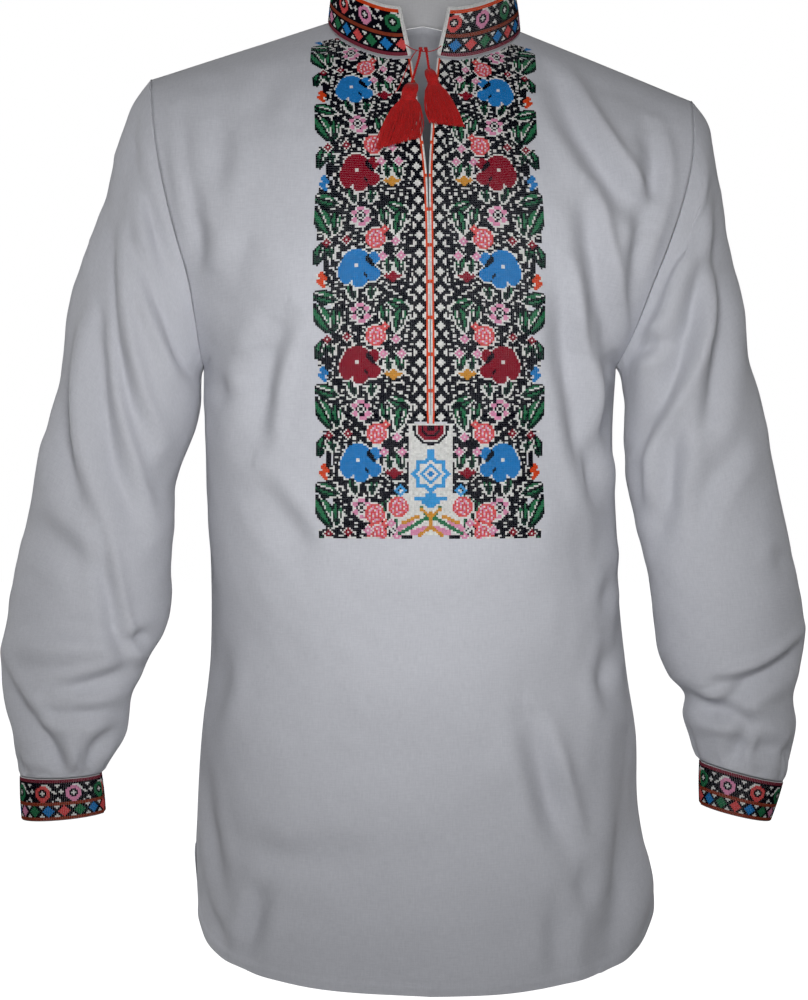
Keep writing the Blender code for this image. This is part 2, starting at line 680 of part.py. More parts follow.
def tassel_grid(top_x, top_z, foot_x, foot_z, foot_half_width, tilt):
    """Ovals along a tassel: a bound head, then strands that fan out as they lie on the chest."""
    along = np.array(TASSEL_PROFILE["along"])
    wide = np.array(TASSEL_PROFILE["wide"]) * foot_half_width
    deep = np.array(TASSEL_PROFILE["deep"])
    x, z = top_x + (foot_x - top_x) * along, top_z + (foot_z - top_z) * along
    lean = tilt * along
    y = np.min([chest_y(x + k * wide, z + k * wide * lean) for k in (-1, 0, 1)], axis=0)
    y = y - deep - TASSEL_CLEARANCE
    turn = 2 * np.pi * np.arange(TASSEL_SIDES) / TASSEL_SIDES
    rings = np.stack(
        [
            x[:, None] + wide[:, None] * np.cos(turn),
            y[:, None] + deep[:, None] * np.sin(turn),
            z[:, None] + (wide * lean)[:, None] * np.cos(turn),
        ],
        axis=-1,
    )
    return rings


def capped_tube(name, rings, material):
    """A closed solid of rings with a flat cap at each end."""
    count, sides = rings.shape[:2]
    index = np.arange(count * sides).reshape(count, sides)
    loop = np.concatenate([index, index[:, :1]], axis=1)
    faces = grid_faces(loop[::-1]).tolist() + [index[0].tolist(), index[-1, ::-1].tolist()]
    mesh = bpy.data.meshes.new(name)
    mesh.from_pydata(rings.reshape(-1, 3) * MM, [], faces)
    return place_object(name, mesh, material)


def cord(name, route, diameter, material):
    """A round cord along a smooth curve through its route."""
    route = np.array(route, float)
    lengths = np.concatenate([[0], np.cumsum(np.linalg.norm(np.diff(route, axis=0), axis=1))])
    at = np.linspace(0, lengths[-1], max(2, int(round(lengths[-1] / (2 * diameter))) + 1))
    path = np.stack([curve_through(lengths, route[:, i], at) for i in range(3)], axis=-1)
    curve = bpy.data.curves.new(name, "CURVE")
    curve.dimensions = "3D"
    spline = curve.splines.new("POLY")
    spline.points.add(len(path) - 1)
    for point, place in zip(spline.points, path):
        point.co = (*(place * MM), 1)
    curve.bevel_depth = diameter / 2 * MM
    curve.bevel_resolution = 2
    curve.use_fill_caps = True
    curve.materials.append(material)
    thing = bpy.data.objects.new(name, curve)
    bpy.context.scene.collection.objects.link(thing)
    return thing


def make_body(grids, sleeves, material):
    """Front, back and sleeves. Front and back share normals along their seams, so the gap is even
    through the wall."""
    panels = {"front": front_panel(grids), "back": back_panel(grids)}
    panels["front"]["normals"], panels["back"]["normals"] = joined_normals(list(panels.values()))
    for side, sleeve in sleeves.items():
        sleeve["normals"] = joined_normals([sleeve])[0]
        panels[f"sleeve_{side}"] = sleeve
    for name in ("front", "back"):
        panel = panels[name]
        panel["points"] = border_moved_in(panel["points"], panel["faces"], SEAM_GAP / 2)
    for side, outward in (("left", -1), ("right", 1)):
        sleeve = panels[f"sleeve_{side}"]
        sleeve["points"][sleeve["armhole"], 0] += outward * ARMHOLE_GAP
    for name, panel in panels.items():
        cloth(name, panel["points"], panel["faces"], panel["normals"], CLOTH, material)


def border_moved_in(points, faces, gap):
    """Moves each border point of a panel towards the inner points of its faces."""
    on_border = np.zeros(len(points), bool)
    on_border[rim_edges(faces)] = True
    summed, count = np.zeros_like(points), np.zeros(len(points))
    for corner in range(4):
        for other in range(1, 4):
            here, there = faces[:, corner], faces[:, (corner + other) % 4]
            keep = on_border[here] & ~on_border[there]
            np.add.at(summed, here[keep], points[there[keep]])
            np.add.at(count, here[keep], 1)
    able = count > 0
    moved = points.copy()
    moved[able] = moved_towards(points[able], summed[able] / count[able, None], gap)
    return moved


def make_shirt():
    cloth_finish = finish("white cloth", (0.62, 0.62, 0.66), 0.85)
    band_finish = finish("embroidered band", (0.10, 0.07, 0.08), 0.8)
    silk_finish = finish("red cord", (0.42, 0.01, 0.01), 0.6)
    grids = body_grids()
    sleeves = {
        "left": sleeve_panel(LEFT_SLEEVE, "left", LEFT_SLEEVE_FRONT_FOLDS, LEFT_SLEEVE_BACK_FOLDS),
        "right": sleeve_panel(RIGHT_SLEEVE, "right", RIGHT_SLEEVE_FRONT_FOLDS, RIGHT_SLEEVE_BACK_FOLDS),
    }
    make_body(grids, sleeves, cloth_finish)
    bands = {
        "collar": collar_grid(grids),
        "cuff_left": cuff_grid(LEFT_CUFF),
        "cuff_right": cuff_grid(RIGHT_CUFF),
    }
    for name, grid in bands.items():
        index = np.arange(grid[..., 0].size).reshape(grid.shape[:2])
        if name != "cuff_right":
            index = index[:, ::-1]
        band = {"points": grid.reshape(-1, 3), "faces": grid_faces(index)}
        cloth(name, band["points"], band["faces"], joined_normals([band])[0], DOUBLE_CLOTH, band_finish)
    cord("collar_thread", THREAD_ROUTE, THREAD, silk_finish)
    cord("cord_left", LEFT_CORD_ROUTE, CORD, silk_finish)
    cord("cord_right", RIGHT_CORD_ROUTE, CORD, silk_finish)
    for name, sizes in TASSELS.items():
        capped_tube(name, tassel_grid(*sizes), silk_finish)


for old in list(bpy.data.objects):
    bpy.data.objects.remove(old)
make_shirt()
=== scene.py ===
# %% [markdown]
# # A vyshyvanka
# This is the embroidered pullover shirt of Ukrainian folk dress, in the hollow form it keeps on a wearer
# with both arms down. A maker cuts a front with a neck slit, a back, two sleeves, a stand collar and two
# cuffs from white cloth, covers the bib, collar and cuffs with cross-stitch, and ties the collar with a
# thread and two tassels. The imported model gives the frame: each piece below stands for one of its nodes and
# lies where that node lies.

# %% Load the frame
import bpy
import numpy as np
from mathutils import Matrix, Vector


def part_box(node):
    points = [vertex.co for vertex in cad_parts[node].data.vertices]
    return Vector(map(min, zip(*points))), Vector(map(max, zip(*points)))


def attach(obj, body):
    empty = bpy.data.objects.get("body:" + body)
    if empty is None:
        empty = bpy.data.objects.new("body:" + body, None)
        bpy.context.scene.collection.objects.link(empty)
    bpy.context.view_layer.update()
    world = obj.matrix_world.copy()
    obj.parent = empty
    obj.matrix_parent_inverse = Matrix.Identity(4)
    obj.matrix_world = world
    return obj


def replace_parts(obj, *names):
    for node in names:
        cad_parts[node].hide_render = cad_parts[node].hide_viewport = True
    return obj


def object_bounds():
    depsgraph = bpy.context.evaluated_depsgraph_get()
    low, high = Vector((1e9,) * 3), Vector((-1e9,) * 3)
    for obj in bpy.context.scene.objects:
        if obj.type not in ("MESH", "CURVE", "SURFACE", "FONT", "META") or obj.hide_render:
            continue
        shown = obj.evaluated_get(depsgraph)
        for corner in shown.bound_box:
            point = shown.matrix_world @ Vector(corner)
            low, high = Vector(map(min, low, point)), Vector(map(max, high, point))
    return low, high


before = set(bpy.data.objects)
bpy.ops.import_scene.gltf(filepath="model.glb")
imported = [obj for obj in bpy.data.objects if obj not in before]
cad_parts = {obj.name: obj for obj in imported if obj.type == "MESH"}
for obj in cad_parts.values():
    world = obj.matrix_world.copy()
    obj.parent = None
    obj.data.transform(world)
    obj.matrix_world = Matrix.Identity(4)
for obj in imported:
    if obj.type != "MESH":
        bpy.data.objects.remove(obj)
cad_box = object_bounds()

MM = 0.001
box = {name: np.array(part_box(name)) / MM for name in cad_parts}
print("nodes and their heights in mm:", {name: round(float(np.ptp(b[:, 2]))) for name, b in box.items()})

# %% [markdown]
# ## Camera
# The camera comes first, because the cords are checked against its view. It stands a few metres away, level
# with the chest, and looks very slightly down. A long lens from there shows the whole shirt without making
# its middle larger than its sides, which a near one would.

# %% Camera
DISTANCE = 2.6  # metres in front of the shirt
AIM = (-0.017, 0, -0.397)
CAMERA_HEIGHT = -0.3
VIEW_HEIGHT = 0.84
SENSOR = 36
camera_data = bpy.data.cameras.new("camera")
camera_data.sensor_width = SENSOR
slant = np.hypot(DISTANCE, CAMERA_HEIGHT - AIM[2])
camera_data.lens = SENSOR * slant / VIEW_HEIGHT
camera = bpy.data.objects.new("camera", camera_data)
camera.location = (AIM[0], -DISTANCE, CAMERA_HEIGHT)
camera.rotation_euler = (np.pi / 2 - np.arctan2(CAMERA_HEIGHT - AIM[2], DISTANCE), 0, 0)
bpy.context.scene.collection.objects.link(camera)
bpy.context.scene.camera = camera
print("lens in mm:", round(camera_data.lens, 1))

# %% [markdown]
# ## The shirt's sizes
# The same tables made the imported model. A body like this could be sculpted, or lofted between outline
# curves. Tables of a few half-sections are easier to read and to change, and a smooth curve runs through
# each column. All are in millimetres, and meshes are scaled to metres when they are made.

# %% Tables of the body
CLOTH = 0.6  # wall of one layer
BAND = 1.5  # collar and cuffs: two layers and an interlining
SIDE_Y = 5.0
UNDERARM_Z, LOWEST_Z, VENT_TOP_Z = -285.0, -840.0, -650.0
SECTION_FULLNESS = 1.85
SIDE_TURN, SIDE_TURN_FADE = 90, 1.5  # degrees between a level and the line across, at the body's side
SHOULDER_STIFFNESS = 4
SHOULDER_DROP = 0.8
BODY = {
    "z":     [-840, -760, -700, -650, -590, -545, -480, -410, -345, -285],
    "left":  [-184, -188, -192, -191, -187, -181, -179, -181, -184, -185],
    "right": [188,   190,  186,  180,  178,  171,  164,  161,  158,  161],
    "front": [-121, -122, -124, -125, -126, -126, -125, -124, -123, -122],
    "back":  [114,   112,  108,  102,   96,   94,   96,  102,  108,  112],
}
ARMHOLE = {
    "rise":  [0,    0.13, 0.3,  0.45, 0.6,  0.75, 1],
    "left":  [-185, -189, -195, -205, -214, -221, -228],
    "right": [161,   174,  188,  201,  212,  220,  223],
}
TIP_Z = {"left": -45.0, "right": -63.0}
TIP_Y = 8.0
ARMHOLE_REACH = {"front": -60.0, "back": 62.0}
ARMHOLE_ROUNDNESS = 0.85
CENTRE = {
    "step":    [0,    0.25, 0.5,  0.7,  0.85, 0.93, 1],
    "front y": [-122, -121, -110, -87,  -56,  -31,  12],
    "front z": [-285, -225, -155, -94,  -42,  -9,   29],
    "back y":  [112,  116,  114,  102,  80,   57,   12],
    "back z":  [-285, -222, -150, -84,  -30,  1,    29],
}
NECK_HALF_WIDTH, NECK_Y = 80.5, 11.5
NECK_REACH = {"front": 60.0, "back": 41.0}
SLIT = {
    "z":    [-325, -260, -160, -130, -100, -62, -28],
    "x":    [4.4,  4.0,  3.0,  2.2,  1.2,  0.2, -0.5],
    "half": [0.25, 0.3,  0.35, 0.9,  3.2,  7.0, 11.2],
}
HEM = {
    "place": [0,    0.25, 0.5,  0.7,  0.84, 0.93, 1],
    "front": [-793, -790, -781, -770, -757, -741, -722],
    "back":  [-786, -783, -773, -760, -742, -722, -696],
}
VENT_GAP, VENT_OPENS_IN, VENT_REACH = 5.0, 100, 0.25
VENT_FLARE = {"left front": 0, "left back": -6, "right front": 9, "right back": 4}

# %% Tables of the sleeves and cuffs
SLEEVES = {
    "left": {
        "outer x": [-228, -243, -256, -268, -283, -297, -308, -318,
                    -329, -342, -350, -352, -348, -341, -337, -336],
        "outer z": [-45,  -66,  -100, -146, -195, -245, -300, -355,
                    -404, -453, -497, -527, -556, -586, -611, -624],
        "inner x": [-185, -188, -189, -189, -192, -201, -211, -211,
                    -210, -211, -219, -230, -238, -249, -260, -269],
        "inner z": [-285, -292, -303, -318, -338, -360, -387, -423,
                    -459, -489, -509, -525, -544, -568, -602, -622],
        "y":       [6,    5,    3,    1,    -1,   -3,   -5,   -7,
                    -10,  -14,  -18,  -22,  -25,  -28,  -30,  -30],
        "depth":   [61,   63,   65,   66,   66,   65,   64,   63,
                    62,   60,   59,   57,   53,   47,   40,   36],
    },
    "right": {
        "outer x": [223,  235,   240,  242,   248,  257,  266,  275,  285,
                    296,  304,   313,  317,   312,  307,  309,  304,  298],
        "outer z": [-63,  -80,   -99,  -124,  -153, -195, -242, -290, -336,
                    -393, -438,  -482, -511,  -538, -561, -584, -610, -629],
        "inner x": [161,  164.5, 166,  166.5, 167,  167,  167,  168,  170,
                    179,  186,   190,  195,   204,  218,  218,  224,  229],
        "inner z": [-285, -291,  -298, -306,  -316, -331, -348, -364, -388,
                    -420, -449,  -484, -515,  -542, -558, -575, -597, -611],
        "y":       [6,    5,     4,    3,     1,    -1,   -3,   -5,   -8,
                    -12,  -16,   -20,  -23,   -26,  -28,  -29,  -30,  -30],
        "depth":   [61,   63,    65,   66,    66,   65,   64,   63,   62,
                    60,   58,    56,   53,    49,   45,   42,   38,   36],
    },
}
ARMHOLE_FADE = 4
CUFFS = {  # x and z of the outer and inner points of each edge, the sleeve's first
    "left":  {"outer": [(-336.5, -624.9), (-335, -661)], "inner": [(-268, -622.9), (-264.5, -655)]},
    "right": {"outer": [(298.5, -630), (288, -662)], "inner": [(228, -612), (228, -648)]},
}
CUFF_Y = (-30, -31)
CUFF_DEPTH, CUFF_END_TURN, CUFF_LAP, CUFF_LAP_STEP = 36.5, 16.0, 16.0, 2.6
COLLAR_HEIGHT, COLLAR_LEAN, COLLAR_END_OPENING = 41.0, 3.5, 10.0

# %% [markdown]
# ## Surfaces from tables
# Each panel is a function of two parameters: how high up it is, and how far across. A grid of both, worked
# out as whole arrays, is the panel's mesh, and the same functions later carry each stitch to its place.

# %% Curves and unit vectors
def curve_through(knots, values, at):
    """A cubic in each span of a table, sloped at each knot as the line across its neighbours."""
    knots, values = np.asarray(knots, float), np.asarray(values, float)
    slopes = np.gradient(values, knots)
    span = np.clip(np.searchsorted(knots, at) - 1, 0, len(knots) - 2)
    width = knots[span + 1] - knots[span]
    t = np.clip((at - knots[span]) / width, 0, 1)
    return (
        values[span] * (1 + 2 * t) * (1 - t) ** 2 + width * slopes[span] * t * (1 - t) ** 2
        + values[span + 1] * t * t * (3 - 2 * t) - width * slopes[span + 1] * t * t * (1 - t)
    )


def unit(vectors):
    """Each vector divided by its length."""
    return vectors / np.maximum(np.linalg.norm(vectors, axis=-1, keepdims=True), 1e-9)


def smooth(share):
    """3s^2 - 2s^3 with s held between 0 and 1: a ramp with no corners."""
    share = np.clip(share, 0, 1)
    return share * share * (3 - 2 * share)


# %% [markdown]
# ### The body
# A level runs from -1 below the hem, through 0 at the underarm, to 1 at the shoulder seam. A place runs
# from 0 at the side to 1 at the centre. At each level one cubic leaves the side point along the body's side
# and arrives level at the centre line. Above the underarm the side point lies on the armhole, an upright
# oval.

# %% Body surface
def armhole_edge(step, side, face):
    """Rise (1 - cos(pi step)) / 2 up the oval, with its y a power of sin(pi step)."""
    rise = (1 - np.cos(np.pi * step)) / 2
    x = curve_through(ARMHOLE["rise"], ARMHOLE[side], rise)
    y = SIDE_Y + (TIP_Y - SIDE_Y) * rise + ARMHOLE_REACH[face] * np.sin(np.pi * step) ** ARMHOLE_ROUNDNESS
    return np.stack([x, y, UNDERARM_Z + (TIP_Z[side] - UNDERARM_Z) * rise], axis=-1)


def body_points(level, place, side, face):
    """Hermite cubic across each level, from the side point to the centre line: see the note above."""
    low_z = UNDERARM_Z + np.minimum(level, 0) * (UNDERARM_Z - LOWEST_Z)
    step = np.clip(level, 0, 1)
    above = level > 0
    side_x = curve_through(BODY["z"], BODY[side], low_z)
    low_edge = np.stack([side_x, np.full_like(low_z, SIDE_Y), low_z], axis=-1)
    edge = np.where(above[..., None], armhole_edge(step, side, face), low_edge)
    high_y = curve_through(CENTRE["step"], CENTRE[face + " y"], step)
    high_z = curve_through(CENTRE["step"], CENTRE[face + " z"], step)
    middle_y = np.where(above, high_y, curve_through(BODY["z"], BODY[face], low_z))
    middle_z = np.where(above, high_z, low_z)
    middle_x = curve_through(SLIT["z"], SLIT["x"], np.clip(middle_z, SLIT["z"][0], SLIT["z"][-1]))
    turn = np.radians(SIDE_TURN) * (1 - step) ** SIDE_TURN_FADE
    fullness = 1 + (SECTION_FULLNESS - 1) * (1 - step)
    run_x, run_y = middle_x - edge[..., 0], middle_y - edge[..., 1]
    leave = fullness * (np.abs(run_x) * np.cos(turn) + np.abs(run_y) * np.sin(turn))
    leave_x = leave * np.cos(turn) * np.sign(run_x)
    stiff_y = run_y * step**SHOULDER_STIFFNESS
    leave_y = np.where(step < 1, leave * np.sin(turn) * np.sign(run_y), 0) + stiff_y
    t = place
    start, from_start = (1 + 2 * t) * (1 - t) ** 2, t * (1 - t) ** 2
    finish, from_finish = t * t * (3 - 2 * t), -t * t * (1 - t)
    x = edge[..., 0] * start + leave_x * from_start + middle_x * finish + fullness * run_x * from_finish
    y = edge[..., 1] * start + leave_y * from_start + middle_y * finish + stiff_y * from_finish
    z = middle_z + (edge[..., 2] - middle_z) * (1 - t) ** (1 + SHOULDER_DROP * np.sqrt(1 - step))
    return np.stack([x, y, z], axis=-1)


def grid_normals(points, closed=False):
    """Cross product of the differences across and up the grid. They point outwards where across x up does.
    """
    across = np.gradient(points, axis=1)
    if closed:
        across = (np.roll(points, -1, axis=1) - np.roll(points, 1, axis=1)) / 2
    return unit(np.cross(across, np.gradient(points, axis=0)))


# %% The neck hole and the panels' levels
NECK_SEARCH = 400  # levels or half the places tried


def neck_levels(places, side, face):
    """The level at which each column meets the oval of the neck hole."""
    levels = np.linspace(0.5, 1, NECK_SEARCH)
    grid = body_points(*np.broadcast_arrays(levels[:, None], places[None, :]), side, face)
    outside = (grid[..., 0] / NECK_HALF_WIDTH) ** 2 + ((grid[..., 1] - NECK_Y) / NECK_REACH[face]) ** 2 - 1
    return np.array([np.interp(0, -outside[:, i], levels) for i in range(len(places))])


def neck_place(side):
    """The place on the shoulder seam where the neck hole begins."""
    places = np.linspace(0, 1, 2 * NECK_SEARCH)
    seam = body_points(np.ones_like(places), places, side, "front")
    return np.interp(-NECK_HALF_WIDTH, -np.abs(seam[:, 0]), places)


def top_levels(places, side, face):
    """The level of each column's upper end: 1 along the shoulder seam, and the neck hole's level beyond it.
    """
    tops = np.ones_like(places)
    beyond = places > neck_place(side)
    if beyond.any():
        tops[beyond] = neck_levels(places[beyond], side, face)
    return tops


def half_levels(places, side, face, rows):
    """Levels of a half panel: from the hem to the vent, to the underarm, and to the top of each column."""
    depth = UNDERARM_Z - LOWEST_Z
    hem = (curve_through(HEM["place"], HEM[face], 1 - places) - UNDERARM_Z) / depth
    vent = np.full_like(hem, (VENT_TOP_Z - UNDERARM_Z) / depth)
    skirt = hem + (vent - hem) * np.linspace(0, 1, rows[0] + 1)[:-1, None]
    sides = vent * np.linspace(1, 0, rows[1] + 1)[:-1, None]
    above = np.linspace(0, 1, rows[2] + 1)[:, None] * top_levels(places, side, face)
    return np.concatenate([skirt, sides, above])


def part_edges(points, places, side, face):
    """Opens the slit along the centre by its own half gap, and leans the vents' edges apart."""
    z = points[..., 2]
    if face == "front":
        half = curve_through(SLIT["z"], SLIT["half"], np.clip(z, SLIT["z"][0], SLIT["z"][-1]))
        half = np.where(z > SLIT["z"][0], half, 0)
        corner = neck_place(side)
        reach = np.clip((places - corner) / (1 - corner), 0, 1) ** 2
        points[..., 0] += (-1 if side == "left" else 1) * half * reach
    drop = np.clip((VENT_TOP_Z - z) / VENT_OPENS_IN, 0, 1)
    near = np.clip(1 - places / VENT_REACH, 0, 1) ** 2
    points[..., 1] += (-1 if face == "front" else 1) * VENT_GAP / 2 * drop * near
    points[..., 0] += VENT_FLARE[f"{side} {face}"] * drop**2 * near
    return points


# %% [markdown]
# ## Folds
# Cloth on a body falls in folds that start where it is held: the shoulders, the underarms, the elbows and
# the cuffs. A cloth simulation finds folds of its own, each time in other places. These are listed in a
# table instead. Each is a curve through three points as seen from the front, a width, a depth and a lean. A
# fold is a trough with a soft ridge on both sides, and the lean makes one side steeper. A negative depth is
# a ridge.

# %% Fold tables
FOLD_COLUMNS = "x0 z0 x1 z1 x2 z2 width depth lean".split()
FRONT_FOLDS = [
    (-199, -79, -191, -148, -186, -190, 8, 3.0, -0.3),
    (-169, -79, -170, -119, -175, -145, 12, 3.0, 0),
    (-125, -48, -131, -67, -136, -85, 12, 1.8, 0),
    (-224, -93, -219, -127, -214, -158, 8, 2.0, 0),
    (-115, -247, -131, -297, -137, -347, 12, 5.5, 0.4),
    (-175, -295, -168, -306, -162, -316, 9, 2.2, 0),
    (-139, -382, -112, -412, -99, -440, 13, 3.0, 0.3),
    (-162, -169, -167, -190, -172, -211, 12, -3.0, 0),
    (106, -43, 141, -114, 182, -167, 11, 7.5, 0.5),
    (185, -93, 189, -135, 182, -167, 9, 5.5, 0.3),
    (182, -167, 175, -190, 174, -221, 8, 4.5, 0),
    (129, -146, 143, -216, 158, -272, 10, 6.5, 0.5),
    (108, -211, 127, -325, 161, -421, 10, 7.0, 0.5),
    (150, -266, 149, -320, 143, -387, 8, 4.5, -0.3),
    (148, -284, 164, -282, 174, -272, 8, 3.5, 0),
    (161, -453, 155, -468, 148, -484, 7, 3.5, 0.4),
    (161, -514, 150, -540, 161, -566, 8, 4.0, 0.4),
    (85, -571, 100, -625, 116, -673, 11, 6.5, 0.4),
    (127, -697, 132, -710, 137, -724, 10, 3.0, 0),
    (178, -598, 171, -689, 148, -766, 13, 7.0, 0.4),
    (106, -724, 108, -752, 108, -781, 10, 2.5, 0),
    (-175, -519, -172, -545, -183, -584, 10, 3.5, -0.3),
    (-186, -613, -178, -676, -169, -724, 7, 3.0, -0.4),
    (-134, -710, -141, -742, -148, -773, 9, 4.0, -0.3),
    (-186, -703, -178, -739, -157, -763, 8, 2.5, 0),
    (-146, -663, -120, -682, -62, -678, 14, 2.2, 0),
]
BACK_FOLDS = [
    (-200, -140, -170, -212, -112, -262, 15, 7.0, 0.3),
    (-196, -190, -172, -250, -140, -310, 11, 5.0, 0.2),
    (196, -150, 168, -222, 108, -272, 15, 7.0, -0.3),
    (180, -205, 158, -262, 130, -322, 11, 5.0, -0.2),
    (-60, -300, -92, -400, -112, -520, 17, 7.0, 0.2),
    (70, -310, 92, -420, 98, -545, 17, 7.0, -0.2),
    (10, -360, 4, -470, 14, -600, 19, 5.0, 0),
    (-30, -95, -36, -150, -30, -215, 17, 2.5, 0),
    (52, -105, 60, -160, 52, -225, 15, 2.5, 0),
    (-120, -560, -98, -640, -90, -730, 15, 6.0, 0.3),
    (118, -580, 104, -650, 110, -735, 15, 6.0, -0.3),
    (-165, -420, -158, -470, -166, -540, 10, 4.0, 0),
    (146, -400, 142, -460, 152, -530, 10, 4.0, 0),
    (30, -640, 40, -700, 34, -770, 14, 3.5, 0),
]
SLEEVE_FOLDS = {
    "left front": [
        (-235, -53, -247, -132, -241, -195, 9, 4.0, -0.3),
        (-239, -106, -217, -174, -199, -221, 8, 5.0, 0.3),
        (-230, -198, -207, -258, -188, -295, 9, 5.0, -0.4),
        (-259, -125, -256, -251, -228, -347, 10, 7.0, 0.5),
        (-277, -195, -263, -316, -233, -421, 10, 7.0, 0.5),
        (-286, -216, -300, -324, -277, -405, 10, 7.0, 0.4),
        (-333, -414, -291, -436, -272, -466, 13, 3.5, 0.2),
        (-267, -414, -256, -476, -244, -535, 7, 4.5, 0.6),
        (-246, -514, -236, -510, -225, -505, 7, 3.5, 0),
        (-339, -516, -293, -515, -246, -519, 11, -3.5, 0),
        (-354, -532, -317, -582, -301, -615, 8, 5.0, 0.4),
        (-304, -550, -272, -545, -244, -535, 8, 4.0, 0.3),
        (-312, -561, -283, -568, -256, -566, 7, 3.0, 0),
        (-317, -566, -303, -571, -288, -577, 6, 2.0, 0),
        (-309, -571, -300, -598, -300, -619, 7, 3.5, 0.3),
        (-251, -577, -270, -598, -275, -616, 7, 4.5, 0.3),
        (-339, -608, -334, -615, -330, -624, 6, 2.5, 0),
    ],
    "right front": [
        (223, -151, 216, -177, 202, -205, 8, 4.5, -0.3),
        (239, -169, 211, -272, 174, -350, 10, 7.5, 0.4),
        (242, -140, 245, -237, 229, -342, 10, 7.5, -0.4),
        (174, -272, 188, -268, 203, -265, 8, 4.5, 0),
        (203, -335, 197, -382, 192, -431, 10, 6.5, -0.4),
        (179, -340, 175, -384, 185, -419, 8, 4.0, 0),
        (265, -347, 237, -377, 218, -431, 12, 3.5, 0.3),
        (300, -435, 295, -445, 290, -456, 10, 2.0, 0),
        (318, -511, 276, -536, 239, -545, 8, 6.0, -0.6),
        (216, -553, 242, -563, 265, -542, 8, 5.0, 0.4),
        (227, -571, 254, -571, 276, -584, 7, 3.5, 0),
        (263, -582, 258, -595, 251, -616, 7, 4.0, 0.4),
        (258, -603, 281, -598, 305, -608, 8, 2.5, 0),
        (308, -577, 309, -597, 297, -619, 7, 3.5, 0),
    ],
    "left back": [
        (-236, -90, -250, -190, -238, -300, 13, 7.0, 0.3),
        (-268, -190, -282, -300, -262, -410, 13, 7.0, -0.3),
        (-225, -235, -240, -300, -226, -380, 11, 5.0, 0),
        (-335, -450, -300, -478, -250, -490, 12, 5.5, 0.4),
        (-330, -560, -300, -548, -262, -560, 9, 5.0, -0.3),
        (-345, -500, -318, -520, -280, -522, 9, 3.5, 0),
        (-322, -585, -312, -604, -309, -621, 7, 3.5, 0),
        (-292, -580, -290, -600, -287, -621, 7, 3.0, 0),
    ],
    "right back": [
        (234, -100, 244, -200, 222, -300, 13, 7.0, -0.3),
        (254, -190, 262, -300, 240, -400, 13, 7.0, 0.3),
        (190, -230, 206, -300, 196, -372, 11, 5.0, 0),
        (306, -440, 262, -470, 210, -482, 12, 5.5, 0.4),
        (298, -560, 268, -548, 232, -560, 9, 5.0, -0.3),
        (310, -490, 280, -512, 240, -515, 9, 3.5, 0),
        (286, -584, 280, -602, 276, -618, 7, 3.5, 0),
        (256, -580, 252, -598, 248, -616, 7, 3.0, 0),
    ],
}


# %% [markdown]
# A point's distance to a fold is taken to the nearest of its short straight stretches, with a sign for the
# side it is on. Two further effects are sums of sine waves through space, so that they run on across every
# seam: a slow swell with waves of 70 to 220 mm, and a slight rumple with waves of 18 to 50 mm.

# %% Fold and rumple functions
FOLD_STRETCHES = 10
FOLD_STRENGTH = 1.65  # deepens every fold of the tables alike
RIDGE_SHARE, RIDGE_AT, RIDGE_WIDTH = 0.42, 1.7, 0.8
WIDTH_LEAN, RIDGE_LEAN = 0.45, 0.7


def fold_heights(points, normals, folds, face):
    """-depth * (exp(-q^2) - share * exp(-((|q| - 1.7) / 0.8)^2)), q being the signed distance / width.

    The depth fades to nothing at a fold's ends, and wherever the cloth turns away from the fold's own face.
    """
    heights = np.zeros(points.shape[:-1])
    facing = np.clip(0.15 + 1.4 * normals[..., 1] * (-1 if face == "front" else 1), 0, 1)
    along = np.linspace(0, 1, FOLD_STRETCHES + 1)
    first, centre, last = 2 * (along - 0.5) * (along - 1), 4 * along * (1 - along), 2 * along * (along - 0.5)
    for row in folds:
        fold = dict(zip(FOLD_COLUMNS, row))
        line_x = fold["x0"] * first + fold["x1"] * centre + fold["x2"] * last
        line_z = fold["z0"] * first + fold["z1"] * centre + fold["z2"] * last
        best = np.full(heights.shape, 1e9)
        signed, place = np.zeros(heights.shape), np.zeros(heights.shape)
        for i in range(FOLD_STRETCHES):
            dx, dz = line_x[i + 1] - line_x[i], line_z[i + 1] - line_z[i]
            px, pz = points[..., 0] - line_x[i], points[..., 2] - line_z[i]
            t = np.clip((px * dx + pz * dz) / (dx * dx + dz * dz), 0, 1)
            far = np.hypot(px - t * dx, pz - t * dz)
            nearer = far < best
            best = np.where(nearer, far, best)
            signed = np.where(nearer, far * np.sign(dx * pz - dz * px), signed)
            place = np.where(nearer, (i + t) / FOLD_STRETCHES, place)
        side = np.sign(signed)
        q = signed / (fold["width"] * (1 - WIDTH_LEAN * fold["lean"] * side))
        fade = np.sin(np.pi * (0.05 + 0.9 * place)) ** 0.8
        ridge = np.exp(-(((np.abs(q) - RIDGE_AT) / RIDGE_WIDTH) ** 2))
        ridge_share = RIDGE_SHARE * (1 + RIDGE_LEAN * fold["lean"] * side)
        heights -= fold["depth"] * fade * (np.exp(-q * q) - ridge_share * ridge)
    return FOLD_STRENGTH * heights * facing


waves = np.random.default_rng(11)
SWELLS, RUMPLES = 12, 26
wave_lengths = np.concatenate([waves.uniform(70, 220, SWELLS), waves.uniform(18, 50, RUMPLES)])
wave_amounts = np.repeat([0.55, 0.07], [SWELLS, RUMPLES])
wave_ways = unit(waves.normal(size=(SWELLS + RUMPLES, 3))) * 2 * np.pi / wave_lengths[:, None]
wave_starts = waves.uniform(0, 2 * np.pi, SWELLS + RUMPLES)


def rumple(points):
    """The sum of amount * sin(way . point + start) over all the waves."""
    return np.sin(points @ wave_ways.T + wave_starts) @ wave_amounts
